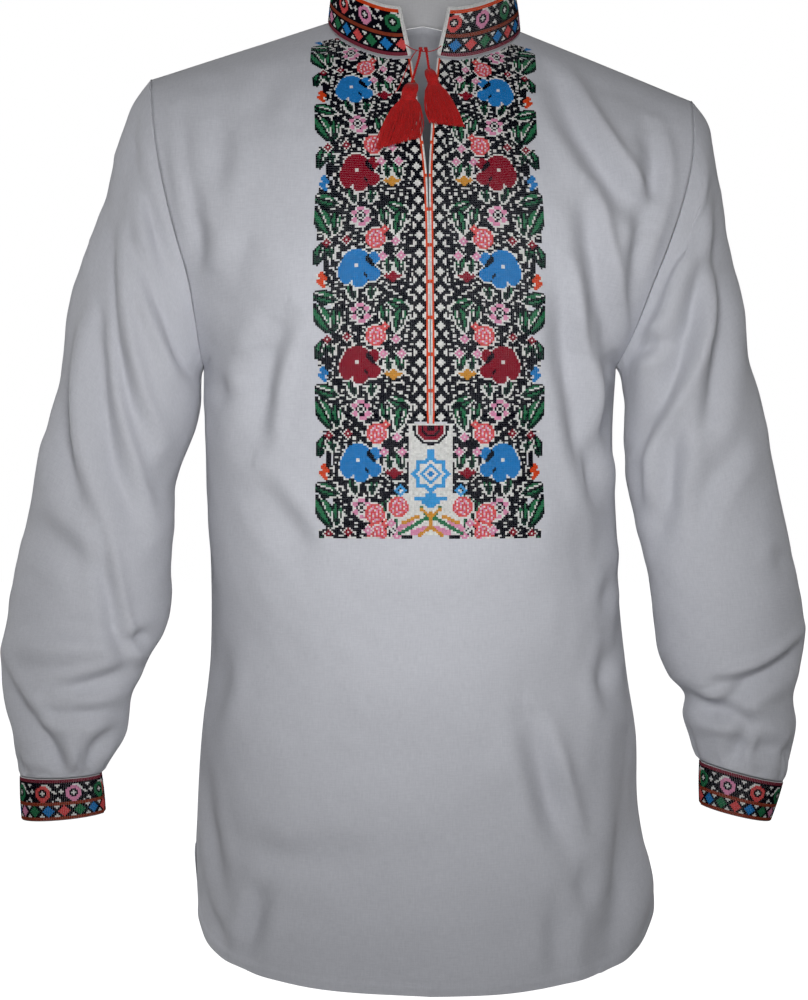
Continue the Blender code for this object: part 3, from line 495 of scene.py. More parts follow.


# %% [markdown]
# ## Putting a grid into a mesh
# Every cloth piece also gets a flat map in metres, the way its pattern lies on the cutting table, so that
# the weave runs along its threads. The map is named OFBake.

# %% Mesh helpers
def grid_faces(index):
    """Four corners of each cell of a grid of point numbers."""
    corners = index[:-1, :-1], index[:-1, 1:], index[1:, 1:], index[1:, :-1]
    return np.stack(corners, axis=-1).reshape(-1, 4)


def flat_map(points, origin=(0.02, 0.02)):
    """Distances in metres along rows and columns: across from the middle column, up from the lowest row."""
    rows, columns = points.shape[:2]
    across = np.linalg.norm(np.diff(points, axis=1), axis=-1)
    across = np.concatenate([np.zeros((rows, 1)), np.cumsum(across, axis=1)], axis=1)
    across -= across[:, columns // 2, None]
    up = np.linalg.norm(np.diff(points[:, columns // 2], axis=0), axis=-1)
    up = np.concatenate([[0], np.cumsum(up)])[:, None] + np.zeros((1, columns))
    return np.stack([across - across.min(), up], axis=-1) * MM + origin


def place_piece(name, vertices, faces, flat, finish):
    """A mesh object at the origin, with its points in metres and its flat map."""
    mesh = bpy.data.meshes.new(name)
    mesh.from_pydata(np.asarray(vertices) * MM, [], np.asarray(faces).tolist())
    if flat is not None:
        layer = mesh.uv_layers.new(name="OFBake")
        corners = np.empty(len(mesh.loops), np.int32)
        mesh.loops.foreach_get("vertex_index", corners)
        layer.data.foreach_set("uv", np.asarray(flat, np.float32)[corners].ravel())
    mesh.materials.append(finish)
    mesh.polygons.foreach_set("use_smooth", np.ones(len(mesh.polygons), bool))
    piece = bpy.data.objects.new(name, mesh)
    bpy.context.scene.collection.objects.link(piece)
    return piece


def thicken(piece, thickness):
    """Gives a sheet its wall, inwards from the surface that shows."""
    wall = piece.modifiers.new("wall", "SOLIDIFY")
    wall.thickness = thickness * MM
    wall.offset = -1
    wall.use_even_offset = False
    return piece


def joins_frame(piece, node):
    """The piece rides on the one body and stands for its node, whose own mesh is hidden."""
    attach(piece, "root")
    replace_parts(piece, node)
    piece.data.calc_loop_triangles()
    print(f"{piece.name}: {len(piece.data.loop_triangles)} triangles before its wall")
    return piece


# %% [markdown]
# ## White cloth
# The ground of a vyshyvanka is a plain weave of linen and cotton, because cross-stitch is counted over its
# threads. A picture of cloth could be wrapped round it, but two crossed rows of waves along the flat map
# give the same threads at any distance: the weft shows where the warp goes under. Thick and thin places in
# the yarn are noise stretched along each thread, and a soft bloom of loose fibre is sheen.

# %% Shader helpers
def node(tree, kind, inputs=(), **settings):
    """Adds one shader node, sets its settings, and links or sets its inputs in order."""
    made = tree.nodes.new(kind)
    for name, value in settings.items():
        setattr(made, name, value)
    for key, value in dict(inputs).items():
        if isinstance(value, bpy.types.NodeSocket):
            tree.links.new(value, made.inputs[key])
        else:
            made.inputs[key].default_value = value
    return made


def calc(tree, operation, a, b=0.0, c=0.0):
    """One step of arithmetic on numbers or sockets."""
    return node(tree, "ShaderNodeMath", {0: a, 1: b, 2: c}, operation=operation).outputs[0]


def new_finish(name):
    """A new material, its tree of nodes and its surface shader."""
    material = bpy.data.materials.new(name)
    material.use_nodes = True
    return material, material.node_tree, material.node_tree.nodes["Principled BSDF"]


# %% White cloth finish
THREAD_PITCH = 0.00062
SLUB_SCALES = (90, 1400, 1), (1400, 90, 1)  # short across a thread and long along it, for warp and weft
SLUB_SHARE, MOTTLE_SHARE, MOTTLE_SCALE = 0.75, 0.25, 420.0


def woven_cloth(name, light, dark):
    """Colour from dark to light by 0.75 slub + 0.25 mottle, and a bump of sin(across) sin(up) + 1.2 slub."""
    material, tree, shader = new_finish(name)
    flat = node(tree, "ShaderNodeUVMap", uv_map="OFBake").outputs[0]
    split = node(tree, "ShaderNodeSeparateXYZ", {0: flat}).outputs
    turns = 2 * np.pi / THREAD_PITCH
    warp = calc(tree, "SINE", calc(tree, "MULTIPLY", split[0], turns))
    weft = calc(tree, "SINE", calc(tree, "MULTIPLY", split[1], turns))
    weave = calc(tree, "MULTIPLY", warp, weft)
    slubs = []
    for scale in SLUB_SCALES:
        stretched = node(tree, "ShaderNodeMapping", {0: flat, 3: scale}).outputs[0]
        noise = node(tree, "ShaderNodeTexNoise", {"Vector": stretched, "Scale": 1.0, "Detail": 2.0})
        slubs.append(noise.outputs[0])
    slub = calc(tree, "MULTIPLY", calc(tree, "ADD", *slubs), 0.5)
    place = node(tree, "ShaderNodeTexCoord").outputs["Object"]
    mottle = node(tree, "ShaderNodeTexNoise", {"Vector": place, "Scale": MOTTLE_SCALE, "Detail": 3.0})
    mottle_part = calc(tree, "MULTIPLY", mottle.outputs[0], MOTTLE_SHARE)
    tone = calc(tree, "MULTIPLY_ADD", slub, SLUB_SHARE, mottle_part)
    ramp = node(tree, "ShaderNodeMapRange", {0: tone, 1: 0.35, 2: 0.65}).outputs[0]
    mixed = node(tree, "ShaderNodeMix", {0: ramp, 6: (*dark, 1), 7: (*light, 1)}, data_type="RGBA")
    tree.links.new(mixed.outputs[2], shader.inputs["Base Color"])
    height = calc(tree, "MULTIPLY_ADD", slub, 1.2, weave)
    bump = node(tree, "ShaderNodeBump", {"Height": height, "Strength": 0.35, "Distance": 0.00012})
    tree.links.new(bump.outputs[0], shader.inputs["Normal"])
    shader.inputs["Roughness"].default_value = 0.86
    shader.inputs["Specular IOR Level"].default_value = 0.25
    shader.inputs["Sheen Weight"].default_value = 0.18
    shader.inputs["Sheen Roughness"].default_value = 0.45
    return material


white_cloth = woven_cloth("white cloth", (0.65, 0.66, 0.71), (0.56, 0.57, 0.62))
band_cloth = woven_cloth("band cloth", (0.68, 0.68, 0.70), (0.61, 0.61, 0.63))

# %% [markdown]
# ## Front
# The front is one piece, cut on the fold, with a slit down from the neck. Its hem is turned up twice and
# stitched, so a strip along it stands proud by a layer of cloth. Grids of the two halves share their centre
# column below the slit.

# %% Dressed body
UNDERARM_BLUR = 0.09  # the cloth rounds off the turn from chest to armhole
BLUR_TAPS = (-1, 0.12), (-0.5, 0.22), (0, 0.32), (0.5, 0.22), (1, 0.12)


def outward_normals(points, side, face):
    """Normals of a half panel's grid, turned to point away from the wearer."""
    return grid_normals(points) * (1 if (side == "left") == (face == "front") else -1)


def dressed_body(levels, places, side, face):
    """The bare surface moved along its normals by folds and rumple, and parted at its slit and vents.

    At the underarm the surface is a weighted mean over near levels. The move fades out towards the side and
    the upper edge, where seams hold the cloth. Places have to rise.
    """
    across = np.broadcast_to(places, levels.shape)
    blur = UNDERARM_BLUR * np.exp(-((levels / 0.1) ** 2)) * smooth(across / 0.2)
    points = sum(
        share * body_points(np.clip(levels + shift * blur, -1.2, 1), across, side, face)
        for shift, share in BLUR_TAPS
    )
    normals = outward_normals(points, side, face)
    heights = fold_heights(points, normals, FRONT_FOLDS if face == "front" else BACK_FOLDS, face)
    still = smooth(across / 0.1) * smooth((top_levels(places, side, face) - levels) * 7)
    points = points + ((heights + rumple(points)) * still)[..., None] * normals
    return part_edges(points, places, side, face)


# %% Body halves
HEM_TURN, HEM_PROUD, HEM_DIMPLE = 10.0, 0.7, 0.35
SKIRT_CROWDING = 1.7


def body_half(side, face, columns, rows):
    """The whole half. Rows crowd towards the hem, which stands proud below a dimpled line of stitches."""
    corner = neck_place(side)
    shoulder, neck = np.linspace(0, corner, columns[0] + 1), np.linspace(corner, 1, columns[1] + 1)
    places = np.concatenate([shoulder, neck[1:]])
    levels = half_levels(places, side, face, rows)
    share = (np.arange(rows[0]) / rows[0])[:, None]
    levels[: rows[0]] = levels[0] + (levels[rows[0]] - levels[0]) * share**SKIRT_CROWDING
    points = dressed_body(levels, places, side, face)
    up = np.linalg.norm(np.diff(points, axis=0), axis=-1)
    up = np.concatenate([np.zeros((1, len(places))), np.cumsum(up, axis=0)])
    proud = HEM_PROUD * smooth((HEM_TURN - up) / 1.5)
    proud = proud - HEM_DIMPLE * np.exp(-(((up - HEM_TURN + 1) / 1.2) ** 2))
    return points + proud[..., None] * outward_normals(points, side, face)


FRONT_COLUMNS, FRONT_ROWS = (58, 40), (34, 84, 108)
BACK_COLUMNS, BACK_ROWS = (36, 22), (24, 52, 64)
halves = {}
for side in ("left", "right"):
    halves["front", side] = body_half(side, "front", FRONT_COLUMNS, FRONT_ROWS)
    halves["back", side] = body_half(side, "back", BACK_COLUMNS, BACK_ROWS)
print("front grid:", halves["front", "left"].shape, "back grid:", halves["back", "left"].shape)

# %% Front and back panels
def front_piece():
    """Both halves side by side; they share the centre column wherever the slit is closed."""
    left, right = halves["front", "left"], halves["front", "right"][:, ::-1]
    rows, columns = left.shape[:2]
    closed_rows = int(np.argmax(left[:, -1, 2] > SLIT["z"][0]))
    index_left = np.arange(rows * columns).reshape(rows, columns)
    index_right = index_left + rows * columns
    index_right[:closed_rows, 0] = index_left[:closed_rows, -1]
    flat = flat_map(np.concatenate([left, right[:, 1:]], axis=1))
    flats = np.concatenate([flat[:, :columns].reshape(-1, 2), flat[:, columns - 1 :].reshape(-1, 2)])
    points = np.concatenate([left.reshape(-1, 3), right.reshape(-1, 3)])
    faces = np.concatenate([grid_faces(index_left), grid_faces(index_right)])
    used, faces = np.unique(faces, return_inverse=True)
    return place_piece("shirt_front", points[used], faces.reshape(-1, 4), flats[used], white_cloth)


def back_piece():
    """Both halves side by side as seen from behind, sharing their centre column."""
    left, right = halves["back", "left"], halves["back", "right"][:, ::-1]
    grid = np.concatenate([left, right[:, 1:]], axis=1)[:, ::-1]
    index = np.arange(grid[..., 0].size).reshape(grid.shape[:2])
    flat = flat_map(grid).reshape(-1, 2)
    return place_piece("shirt_back", grid.reshape(-1, 3), grid_faces(index), flat, white_cloth)


front = joins_frame(thicken(front_piece(), CLOTH), "front")
back = joins_frame(thicken(back_piece(), CLOTH), "back")


# %% [markdown]
# ## Sleeves
# Each sleeve is one piece, closed by the seam under the arm. It turns with the arm: near the top its rings
# pivot about the underarm, and below that each is an oval square to the arm. The head of the sleeve is
# eased into the armhole, which leaves small puckers, and its foot is gathered into the cuff.

# %% Sleeve surface
SLEEVE_ROUND, SLEEVE_RINGS = 96, 200
PUCKERS, PUCKER, PUCKER_REACH = 34, 0.5, 14.0
GATHERS, GATHER, GATHER_REACH = 15, 1.1, 22.0
BLOUSE = {"left": 6.0, "right": 3.0}  # how far the cloth stands out over the cuff, on its inner side
BLOUSE_ABOVE_CUFF, BLOUSE_SPREAD = 40, 20


def sleeve_grid(side):
    """Ovals through each ring's outer and inner point, which start in the armhole's own shape."""
    table = SLEEVES[side]
    rows = np.arange(len(table["y"]))
    at = np.linspace(0, rows[-1], SLEEVE_RINGS + 1)
    values = {name: curve_through(rows, table[name], at) for name in table}
    step = 2 * np.arange(SLEEVE_ROUND) / SLEEVE_ROUND
    outer = np.stack([values["outer x"], values["y"], values["outer z"]], axis=-1)
    inner = np.stack([values["inner x"], values["y"], values["inner z"]], axis=-1)
    middle, half = (outer + inner) / 2, (inner - outer) / 2
    ovals = middle[:, None] + half[:, None] * np.cos(np.pi * step)[None, :, None]
    ovals[..., 1] -= values["depth"][:, None] * np.sin(np.pi * step)[None, :]
    armhole = np.where(
        (step <= 1)[:, None],
        armhole_edge(np.minimum(step, 1), side, "front"),
        armhole_edge(np.clip(2 - step, 0, 1), side, "back"),
    )
    fade = smooth(1 - at / ARMHOLE_FADE)
    return ovals + fade[:, None, None] * (armhole - ovals[0])


def sleeve_piece(side):
    """The bare sleeve moved along its normals by folds, rumple, puckers at the head, gathers at the foot."""
    grid = sleeve_grid(side)
    normals = grid_normals(grid, closed=True) * (1 if side == "left" else -1)
    heights = rumple(grid)
    for face in ("front", "back"):
        heights += fold_heights(grid, normals, SLEEVE_FOLDS[f"{side} {face}"], face)
    down = np.linalg.norm(np.diff(grid, axis=0), axis=-1)
    down = np.concatenate([np.zeros((1, SLEEVE_ROUND)), np.cumsum(down, axis=0)])
    rest = down[-1] - down
    turn = 2 * np.pi * np.arange(SLEEVE_ROUND) / SLEEVE_ROUND
    uneven = 1 + 0.5 * np.sin(3 * turn + 1) + 0.3 * np.sin(7 * turn)
    pucker = PUCKER * np.sin(PUCKERS * turn + 2 * np.sin(5 * turn)) * uneven
    pucker = pucker * np.exp(-down / PUCKER_REACH)
    gather = GATHER * np.sin(GATHERS * turn + 2.2 * np.sin(4 * turn + 1)) * uneven
    gather = gather * np.exp(-rest / GATHER_REACH)
    blouse = BLOUSE[side] * np.exp(-(((rest - BLOUSE_ABOVE_CUFF) / BLOUSE_SPREAD) ** 2))
    blouse = blouse * np.clip(np.cos(turn), 0, 1) ** 0.7
    still = smooth(down / 30) * smooth(rest / 16)
    heights = heights * still + blouse + pucker * smooth(down / 3) + gather * smooth(rest / 4)
    grid = grid + heights[..., None] * normals
    index = np.arange(grid[..., 0].size).reshape(grid.shape[:2])
    faces = grid_faces(np.concatenate([index, index[:, :1]], axis=1))
    if side == "left":
        faces = faces[:, ::-1]
    piece = place_piece(f"sleeve_{side}_cloth", grid.reshape(-1, 3), faces, None, white_cloth)
    sleeve_flat(piece.data, np.concatenate([grid, grid[:, :1]], axis=1), side)
    return piece


def sleeve_flat(mesh, grid, side):
    """The flat map of a closed sleeve, cut open along its seam so that no column folds back."""
    corners = grid_faces(np.arange(grid[..., 0].size).reshape(grid.shape[:2]))
    if side == "left":
        corners = corners[:, ::-1]
    flat = flat_map(grid).reshape(-1, 2)[corners.ravel()]
    layer = mesh.uv_layers.new(name="OFBake")
    layer.data.foreach_set("uv", flat.astype(np.float32).ravel())


sleeves = {}
for side in ("left", "right"):
    sleeves[side] = joins_frame(thicken(sleeve_piece(side), CLOTH), f"sleeve_{side}")


# %% [markdown]
# ## Collar and cuffs
# The stand is a straight band of two layers, sewn to the neck hole and open in front, where white piping
# finishes its ends and its top. Each cuff is a band as well, which goes round the wrist a little more than
# once. A band is easy as a surface: a curve for its seam, carried up to a curve for its free edge, with a
# slight roundness between them.

# %% Collar surface
ROUNDNESS = 0.9
SEAM_POINTS = 400
BELL_REACH, BELL_WIDTH = 40, 18.0  # in seam points
END_FOLLOWS_SEAM = 70


def collar_seam():
    """The neck edge of the four half panels, from the slit's left edge round the back to its right edge."""
    first_front, first_back = FRONT_COLUMNS[0], BACK_COLUMNS[0]
    return np.concatenate(
        [
            halves["front", "left"][-1, first_front:][::-1],
            halves["back", "left"][-1, first_back + 1 :],
            halves["back", "right"][-1, first_back:-1][::-1],
            halves["front", "right"][-1, first_front + 1 :],
        ]
    )


def collar_surface(around, up):
    """Points at shares round and up the band: the seam, leaning in and rounded by sin(pi up).

    The neck hole has a corner at each shoulder seam, and stiff cloth doesn't follow it, so the band passes
    from the seam's own line into a bell-weighted mean of it at the free edge.
    """
    seam = collar_seam()
    lengths = np.concatenate([[0], np.cumsum(np.linalg.norm(np.diff(seam, axis=0), axis=1))])
    even = np.linspace(0, lengths[-1], SEAM_POINTS)
    seam = np.stack([np.interp(even, lengths, seam[:, i]) for i in range(3)], axis=-1)
    bell = np.exp(-((np.arange(-BELL_REACH, BELL_REACH + 1) / BELL_WIDTH) ** 2))
    padded = np.pad(seam, ((BELL_REACH, BELL_REACH), (0, 0)), mode="edge")
    soft = np.stack([np.convolve(padded[:, i], bell / bell.sum(), "valid") for i in range(3)], axis=-1)
    setback = COLLAR_END_OPENING * up[:, None]
    at = setback + around[None, :] * (even[-1] - 2 * setback)
    points = np.stack([np.interp(at, even, seam[:, i]) for i in range(3)], axis=-1)
    softer = np.stack([np.interp(at, even, soft[:, i]) for i in range(3)], axis=-1)
    share = up[:, None] * smooth(np.minimum(at, even[-1] - at) / END_FOLLOWS_SEAM)
    points += share[..., None] * (softer - points)
    inward = unit((np.array([0, NECK_Y, 0]) - points) * [1, 1, 0])
    points += (COLLAR_LEAN * up - ROUNDNESS * np.sin(np.pi * up))[:, None, None] * inward
    points[..., 2] += (0.3 + COLLAR_HEIGHT * up)[:, None]
    return points


# %% Cuff surface
def cuff_surface(side, around, up):
    """An oval band through its table's points; past a full turn it steps inside its own start."""
    cuff = CUFFS[side]
    outer, inner = np.array(cuff["outer"], float), np.array(cuff["inner"], float)
    girth = np.pi * (np.linalg.norm(outer[0] - inner[0]) / 2 + CUFF_DEPTH)
    lap = CUFF_LAP / girth
    rounds = around[None, :] * (1 + lap)
    turn = np.radians(CUFF_END_TURN) + 2 * np.pi * rounds
    inward = CUFF_LAP_STEP * np.clip((rounds - 1 + 2 * lap) / (2 * lap), 0, 1)
    inward = inward - 0.5 * ROUNDNESS * np.sin(np.pi * up)[:, None]
    down = (1 - up)[:, None, None]
    outer_points = outer[0] + (outer[1] - outer[0]) * down
    inner_points = inner[0] + (inner[1] - inner[0]) * down
    middle, half = (outer_points + inner_points) / 2, (inner_points - outer_points) / 2
    wide = 1 - inward / np.linalg.norm(half, axis=-1)
    x = middle[..., 0] + half[..., 0] * wide * np.cos(turn)
    y = CUFF_Y[0] + (CUFF_Y[1] - CUFF_Y[0]) * down[..., 0] - (CUFF_DEPTH - inward) * np.sin(turn)
    z = middle[..., 1] + half[..., 1] * wide * np.cos(turn)
    return np.stack([x, y, z], axis=-1)


# %% Collar and cuffs
BAND_COLUMNS, BAND_ROWS = 220, 14
BAND_SURFACES = {
    "collar": collar_surface,
    "cuff_left": lambda around, up: cuff_surface("left", around, up),
    "cuff_right": lambda around, up: cuff_surface("right", around, up),
}
bands = {}
for name, surface in BAND_SURFACES.items():
    grid = surface(np.linspace(0, 1, BAND_COLUMNS + 1), np.linspace(0, 1, BAND_ROWS + 1))
    index = np.arange(grid[..., 0].size).reshape(grid.shape[:2])
    faces = grid_faces(index if name == "cuff_right" else index[:, ::-1])
    band = place_piece(f"{name}_band", grid.reshape(-1, 3), faces, flat_map(grid).reshape(-1, 2), band_cloth)
    bands[name] = joins_frame(thicken(band, BAND), name)

# %% [markdown]
# ## Cross-stitch
# Embroidery could be a pattern of colours on the cloth, but a real cross-stitch is two short lengths of
# floss, raised over the cloth and crossed. So a chart says which floss fills each cell of a counted grid,
# as on an embroiderer's squared paper, and every filled cell becomes a small raised cross. Both halves of
# the bib share one chart, mirrored.

# %% Floss colours
FLOSS = {
    "k": (0.0025, 0.0025, 0.006),  # black
    "w": (0.70, 0.70, 0.68),  # white
    "g": (0.022, 0.165, 0.070),  # leaf green
    "d": (0.003, 0.028, 0.016),  # dark green
    "b": (0.018, 0.195, 0.52),  # blue
    "l": (0.045, 0.31, 0.66),  # light blue
    "m": (0.23, 0.007, 0.020),  # maroon
    "c": (0.66, 0.085, 0.085),  # coral
    "p": (0.68, 0.26, 0.42),  # lilac pink
    "o": (0.66, 0.062, 0.014),  # orange-red
    "y": (0.60, 0.27, 0.035),  # golden
    "r": (0.24, 0.042, 0.020),  # brown-red of the bands' stripes
    "s": (0.19, 0.030, 0.048),  # rose of the base stripes
}


def chart_of(rows):
    """Text rows, the lowest last, as an array of letters with the lowest first."""
    return np.array([list(row) for row in rows])[::-1]


# %% Small motifs as charts; a capital letter takes its colour when it is stamped
BIG_FLOWER = chart_of([
    ".......BBBBBB..........",
    ".....BBBBBBBBBB........",
    "....BBBBBBBBBBBB..BBB..",
    "...BBBBBBBBBBBBBkBBBBB.",
    "...BBBBBBBBBBBBkkBBBBBB",
    "..BBBBBBBBBBBBBkkkBBBBB",
    "..BBBBBBBBBBBBBkkkkBBBB",
    ".BBBBBBBBBBBBBBBkkkBBB.",
    ".BBBBBBBBwwBBBBBBkkkB..",
    "BBBBBBBBBwwBBBBBBBkk...",
    "BBBBBBBBBBBBBBBBBBBB...",
    "BBBBBBBBBBBBBBBBBBBBBB.",
    "BBBBBBBBBBBBBBBBBBBBBBB",
    "BBBBBBBBBBBBBBkBBBBBBBB",
    "BBBBBBBBBBBBBBkkBBBBBBB",
    ".BBBBBBBBBBBBBBkBBBBBBB",
    ".BBBBBBBBBBBBBBBBBBBBB.",
    "..BBBBB.BBBBBBBB.BBBB..",
    "...BBB..BBBBBBBB.......",
    "........BBBBBBB........",
    ".........BBBBB.........",
])
ROSE = chart_of([
    "...ccccc...",
    "..cpwcpccc.",
    ".cwpccpwcc.",
    ".cpcpwcpwcc",
    "ccwcpcccpcc",
    "cpccwcpcwcc",
    "ccwcpcwccpc",
    "cpccccpcwcc",
    ".ccpwpccpc.",
    "..cccpwcc..",
    "...ccccc...",
])
PETALS = chart_of([
    "....pppp...",
    "....pppp...",
    ".ppp.kk.ppp",
    ".pppkwwkppp",
    "..pkwkkwkp.",
    "...kwkkwk..",
    ".pp.kwwkpp.",
    "pppp.kk.ppp",
    ".ppp....pp.",
    "...pppp....",
    "...pppp....",
])
BLOSSOM = chart_of(["..p..", ".ppp.", "ppwpp", ".ppp.", "..p.."])
BERRY = chart_of(["..m..", ".mmm.", "mmwmm", ".mmm.", "..m.."])
TULIP = chart_of([
    "..TT....",
    ".TTT....",
    ".TTTTk..",
    "..TTTTkk",
    "TTTTTTkk",
    "TTTT.kkk",
    ".TTT..kk",
    "..TTTkk.",
    "...TT...",
])
BUD = chart_of([
    "....TT....",
    "...TTTT.T.",
    "TTTTTTTTTT",
    ".TTTTTTTT.",
    "...TTTTk..",
    "..kkTTkkk.",
    ".kkkkkkk..",
])
LATTICE = chart_of([
    "kkkkkkk",
    "kkkwkkk",
    "kkwwwkk",
    "kwwwwwk",
    "kkwwwkk",
    "kkkwkkk",
    "wkkkkkw",
    "wwkkkww",
    "wwkkkww",
    "wkkkkkw",
])
DIAMOND = chart_of([
    "kkkDkkwww",
    "kkDDDkkwk",
    "kDDDDDkkk",
    "DDDDDDDkk",
    "kDDDDDkkk",
    "kkDDDkkwk",
    "kkkDkkwww",
])
RING = chart_of([
    "kkkwwwwkkkkkkkwwwk",
    "kkwwRRRRkkkkkkkwkk",
    "kwwRRRRRRRkkkkkkkk",
    "kwRRRkkkRRRkkwkkkk",
    "wkRRkkwkkRRkwwwkkw",
    "kkRRkwwwkRRkkwkkww",
    "kkRRkkwkkRRkkkkkkk",
    "kkRRRkkkRRRkkkkkkk",
    "kkkRRRRRRRkkkkkwkk",
    "kkkkRRRRRkkkkkwwwk",
    "wkkkkRRRkkkkkkwkkk",
])

# %% [markdown]
# ### The bib's chart
# Columns are counted outwards from the centre and rows upwards from the lower edge. The slit's orange line
# and a lattice band come first. Beyond them the ground is black with short white steps, which sums of sine
# waves place, and its outer edge is ragged. Motifs are stamped on the ground, each with a white edge of one
# stitch.

# %% Ground of the bib
BIB_COLUMNS, BIB_ROWS = 64, 306
FIRST_LATTICE, FIRST_GROUND, FIRST_FLORAL = 2, 9, 11
SLIT_ROW = 64  # rows below the slit's end
chart = np.full((BIB_ROWS, BIB_COLUMNS), ".")
row_of, column_of = np.mgrid[:BIB_ROWS, :BIB_COLUMNS]
edge_column = 58 + 2 * np.sign(np.sin(row_of / 3.7)) + 2 * np.sign(np.sin(row_of / 1.9 + 1))
ground = (column_of >= FIRST_GROUND) & (column_of < edge_column)
blocks = np.sin(1.55 * column_of + 0.35 * row_of) + np.sin(0.95 * row_of - 0.8 * column_of + 2)
blocks += np.sin(2.3 * row_of + 0.55 * column_of + 4) + 0.8 * np.sin(1.1 * column_of - 2.1 * row_of)
chart[ground] = np.where(blocks > 1.2, "w", "k")[ground]
edged = np.sin(0.9 * column_of - 0.7 * row_of) + np.sin(1.3 * row_of + 0.6 * column_of + 1) > -0.55
print("ground cells:", ground.sum(), "of", chart.size)


# %% Ways to fill cells
def shade(motif, letter, colour):
    """The motif with one of its letters changed."""
    return np.where(motif == letter, colour, motif)


def paint(cells, colour):
    """Fills the cells that are outside the lattice."""
    chart[cells & (column_of >= FIRST_GROUND)] = colour


def near_run(from_column, from_row, to_column, to_row):
    """Each cell's distance to a straight run between two cells."""
    run_c, run_r = to_column - from_column, to_row - from_row
    along = ((column_of - from_column) * run_c + (row_of - from_row) * run_r) / (run_c**2 + run_r**2)
    t = np.clip(along, 0, 1)
    return np.hypot(column_of - from_column - t * run_c, row_of - from_row - t * run_r)


def stamp(motif, column, row, edge=True):
    """Copies a motif centred on a cell, over a one-stitch white edge that is left out here and there."""
    tall, wide = motif.shape
    low, near = int(row) - tall // 2, int(column) - wide // 2
    inside = np.zeros_like(chart, bool)
    for r, c in np.argwhere(motif != "."):
        if 0 <= low + r < BIB_ROWS and FIRST_GROUND <= near + c < BIB_COLUMNS:
            inside[low + r, near + c] = True
    if edge:
        around = inside.copy()
        for shift in (1, -1):
            around |= np.roll(inside, shift, axis=0) | np.roll(inside, shift, axis=1)
        paint(around & ~inside & (column_of < edge_column) & edged, "w")
    for r, c in np.argwhere(inside):
        chart[r, c] = motif[r - low, c - near]


def leaf(column, row, length, width, turn):
    """Cells with |aside| < width / 2 * sin(pi along)^0.7 about a slanted line.

    It has a dark vein with a white line beside it, a darker lower rim, and an outline that is white below.
    """
    angle = np.radians(turn)
    x, y = column_of - column, row_of - row
    along = (x * np.cos(angle) + y * np.sin(angle)) / length + 0.5
    aside = -x * np.sin(angle) + y * np.cos(angle)
    across = np.abs(aside)
    reach = width / 2 * np.sin(np.pi * np.clip(along, 0, 1)) ** 0.7
    outline = (along > -0.05) & (along < 1.05) & (across < reach + 1.2)
    inside = (along > 0) & (along < 1) & (across < reach)
    paint(outline, "k")
    paint(outline & (column_of < edge_column - 2) & (row_of < row + 2), "w")
    paint(inside, "g")
    paint(inside & (across < 0.8), "k")
    paint(inside & (aside > 0.8) & (aside < 1.7) & (row_of % 5 != 0), "w")
    paint(inside & (across > reach - 1.1) & (row_of < row + 1), "d")


# %% [markdown]
# ### The repeat
# The same bunch comes round every 54 rows: a large flower, blue and maroon by turns, with roses, blossoms,
# berries, a tulip and a bud placed about it. Leaves and stems go on first and motifs last, as a maker would
# count them in. Leaves are drawn by formula, as lens shapes about a slanted line, because a leaf on a slant
# is hard to chart by hand.

# %% Fill the repeats
REPEAT, FIRST_FLOWER = 54, 41
STEM_HALF_WIDTH = 1.5
# columns are counted from the florals' first column, and rows from the large flower's centre
STEMS = (
    ((27, -12), (27, -20), (33, -24)), ((14, 14), (8, 4), (4, -8)),
    ((40, 22), (44, 8), (46, -4)), ((20, 22), (12, 30), (4, 26)),
)
LEAVES = (  # column, row, length, width, turn in degrees
    (46, -15, 15, 6, 18), (47, -27, 19, 8, 62), (40, -28, 14, 5, 95), (6, -21, 15, 5.5, 25),
    (5, -29, 15, 6, 105), (13, -26, 12, 5, 80), (20, -13, 10, 4, 100), (31, -13, 10, 4, 75),
    (49, 9, 11, 5, 110), (5, 1, 11, 5, 80), (11, 1, 9, 4, 95), (43, 10, 9, 4, 80),
)
for turn in range(-1, 6):
    row, column = FIRST_FLOWER + REPEAT * turn, FIRST_FLORAL
    flower, tulip, bud = ("b", "o", "m") if turn % 2 == 0 else ("m", "b", "y")
    for points in STEMS:
        for (from_column, from_row), (to_column, to_row) in zip(points[:-1], points[1:]):
            distance = near_run(column + from_column, row + from_row, column + to_column, row + to_row)
            paint(distance < STEM_HALF_WIDTH, "k")
    for out_by, up_by, length, width, lean in LEAVES:
        leaf(column + out_by, row + up_by, length, width, lean)
    for motif, out_by, up_by in (
        (shade(BIG_FLOWER, "B", flower)[:, ::-1], 27, 0), (ROSE, 18, 16),
        (BLOSSOM, 14, 6), (BLOSSOM, 4, 6), (BLOSSOM, 7, 14), (PETALS, 26, -25),
        (BERRY, 40, 22), (BERRY, 45, 15), (BERRY, 34, 16),
        (shade(TULIP, "T", tulip)[:, ::-1], 47, -5), (shade(BUD, "T", bud), 9, -6),
    ):
        stamp(motif, column + out_by, row + up_by)
    stamp(shade(BERRY, "m", "c"), column + 13, row - 33, edge=False)

# %% Lattice band and the slit's edging
BAR_EVERY, BAR_ROWS = 20, 2
beside_slit = row_of >= SLIT_ROW
lattice = (column_of >= FIRST_LATTICE) & (column_of < FIRST_GROUND) & beside_slit
tall, wide = LATTICE.shape
chart[lattice] = LATTICE[row_of % tall, (column_of - FIRST_LATTICE) % wide][lattice]
chart[(column_of == 0) & beside_slit] = "w"
chart[(column_of > 0) & (column_of < FIRST_LATTICE) & (row_of >= SLIT_ROW - 1)] = "o"
chart[(column_of == 0) & beside_slit & (row_of % BAR_EVERY < BAR_ROWS)] = "o"


# %% [markdown]
# ### Below the slit
# Under the slit's end hangs half a rosette. Below it stands a blue star with eight points, on a stepped
# foot. Its outline is two squares, one straight and one on its corner. A sprig of crossed green and golden
# stems with roses finishes the centre.

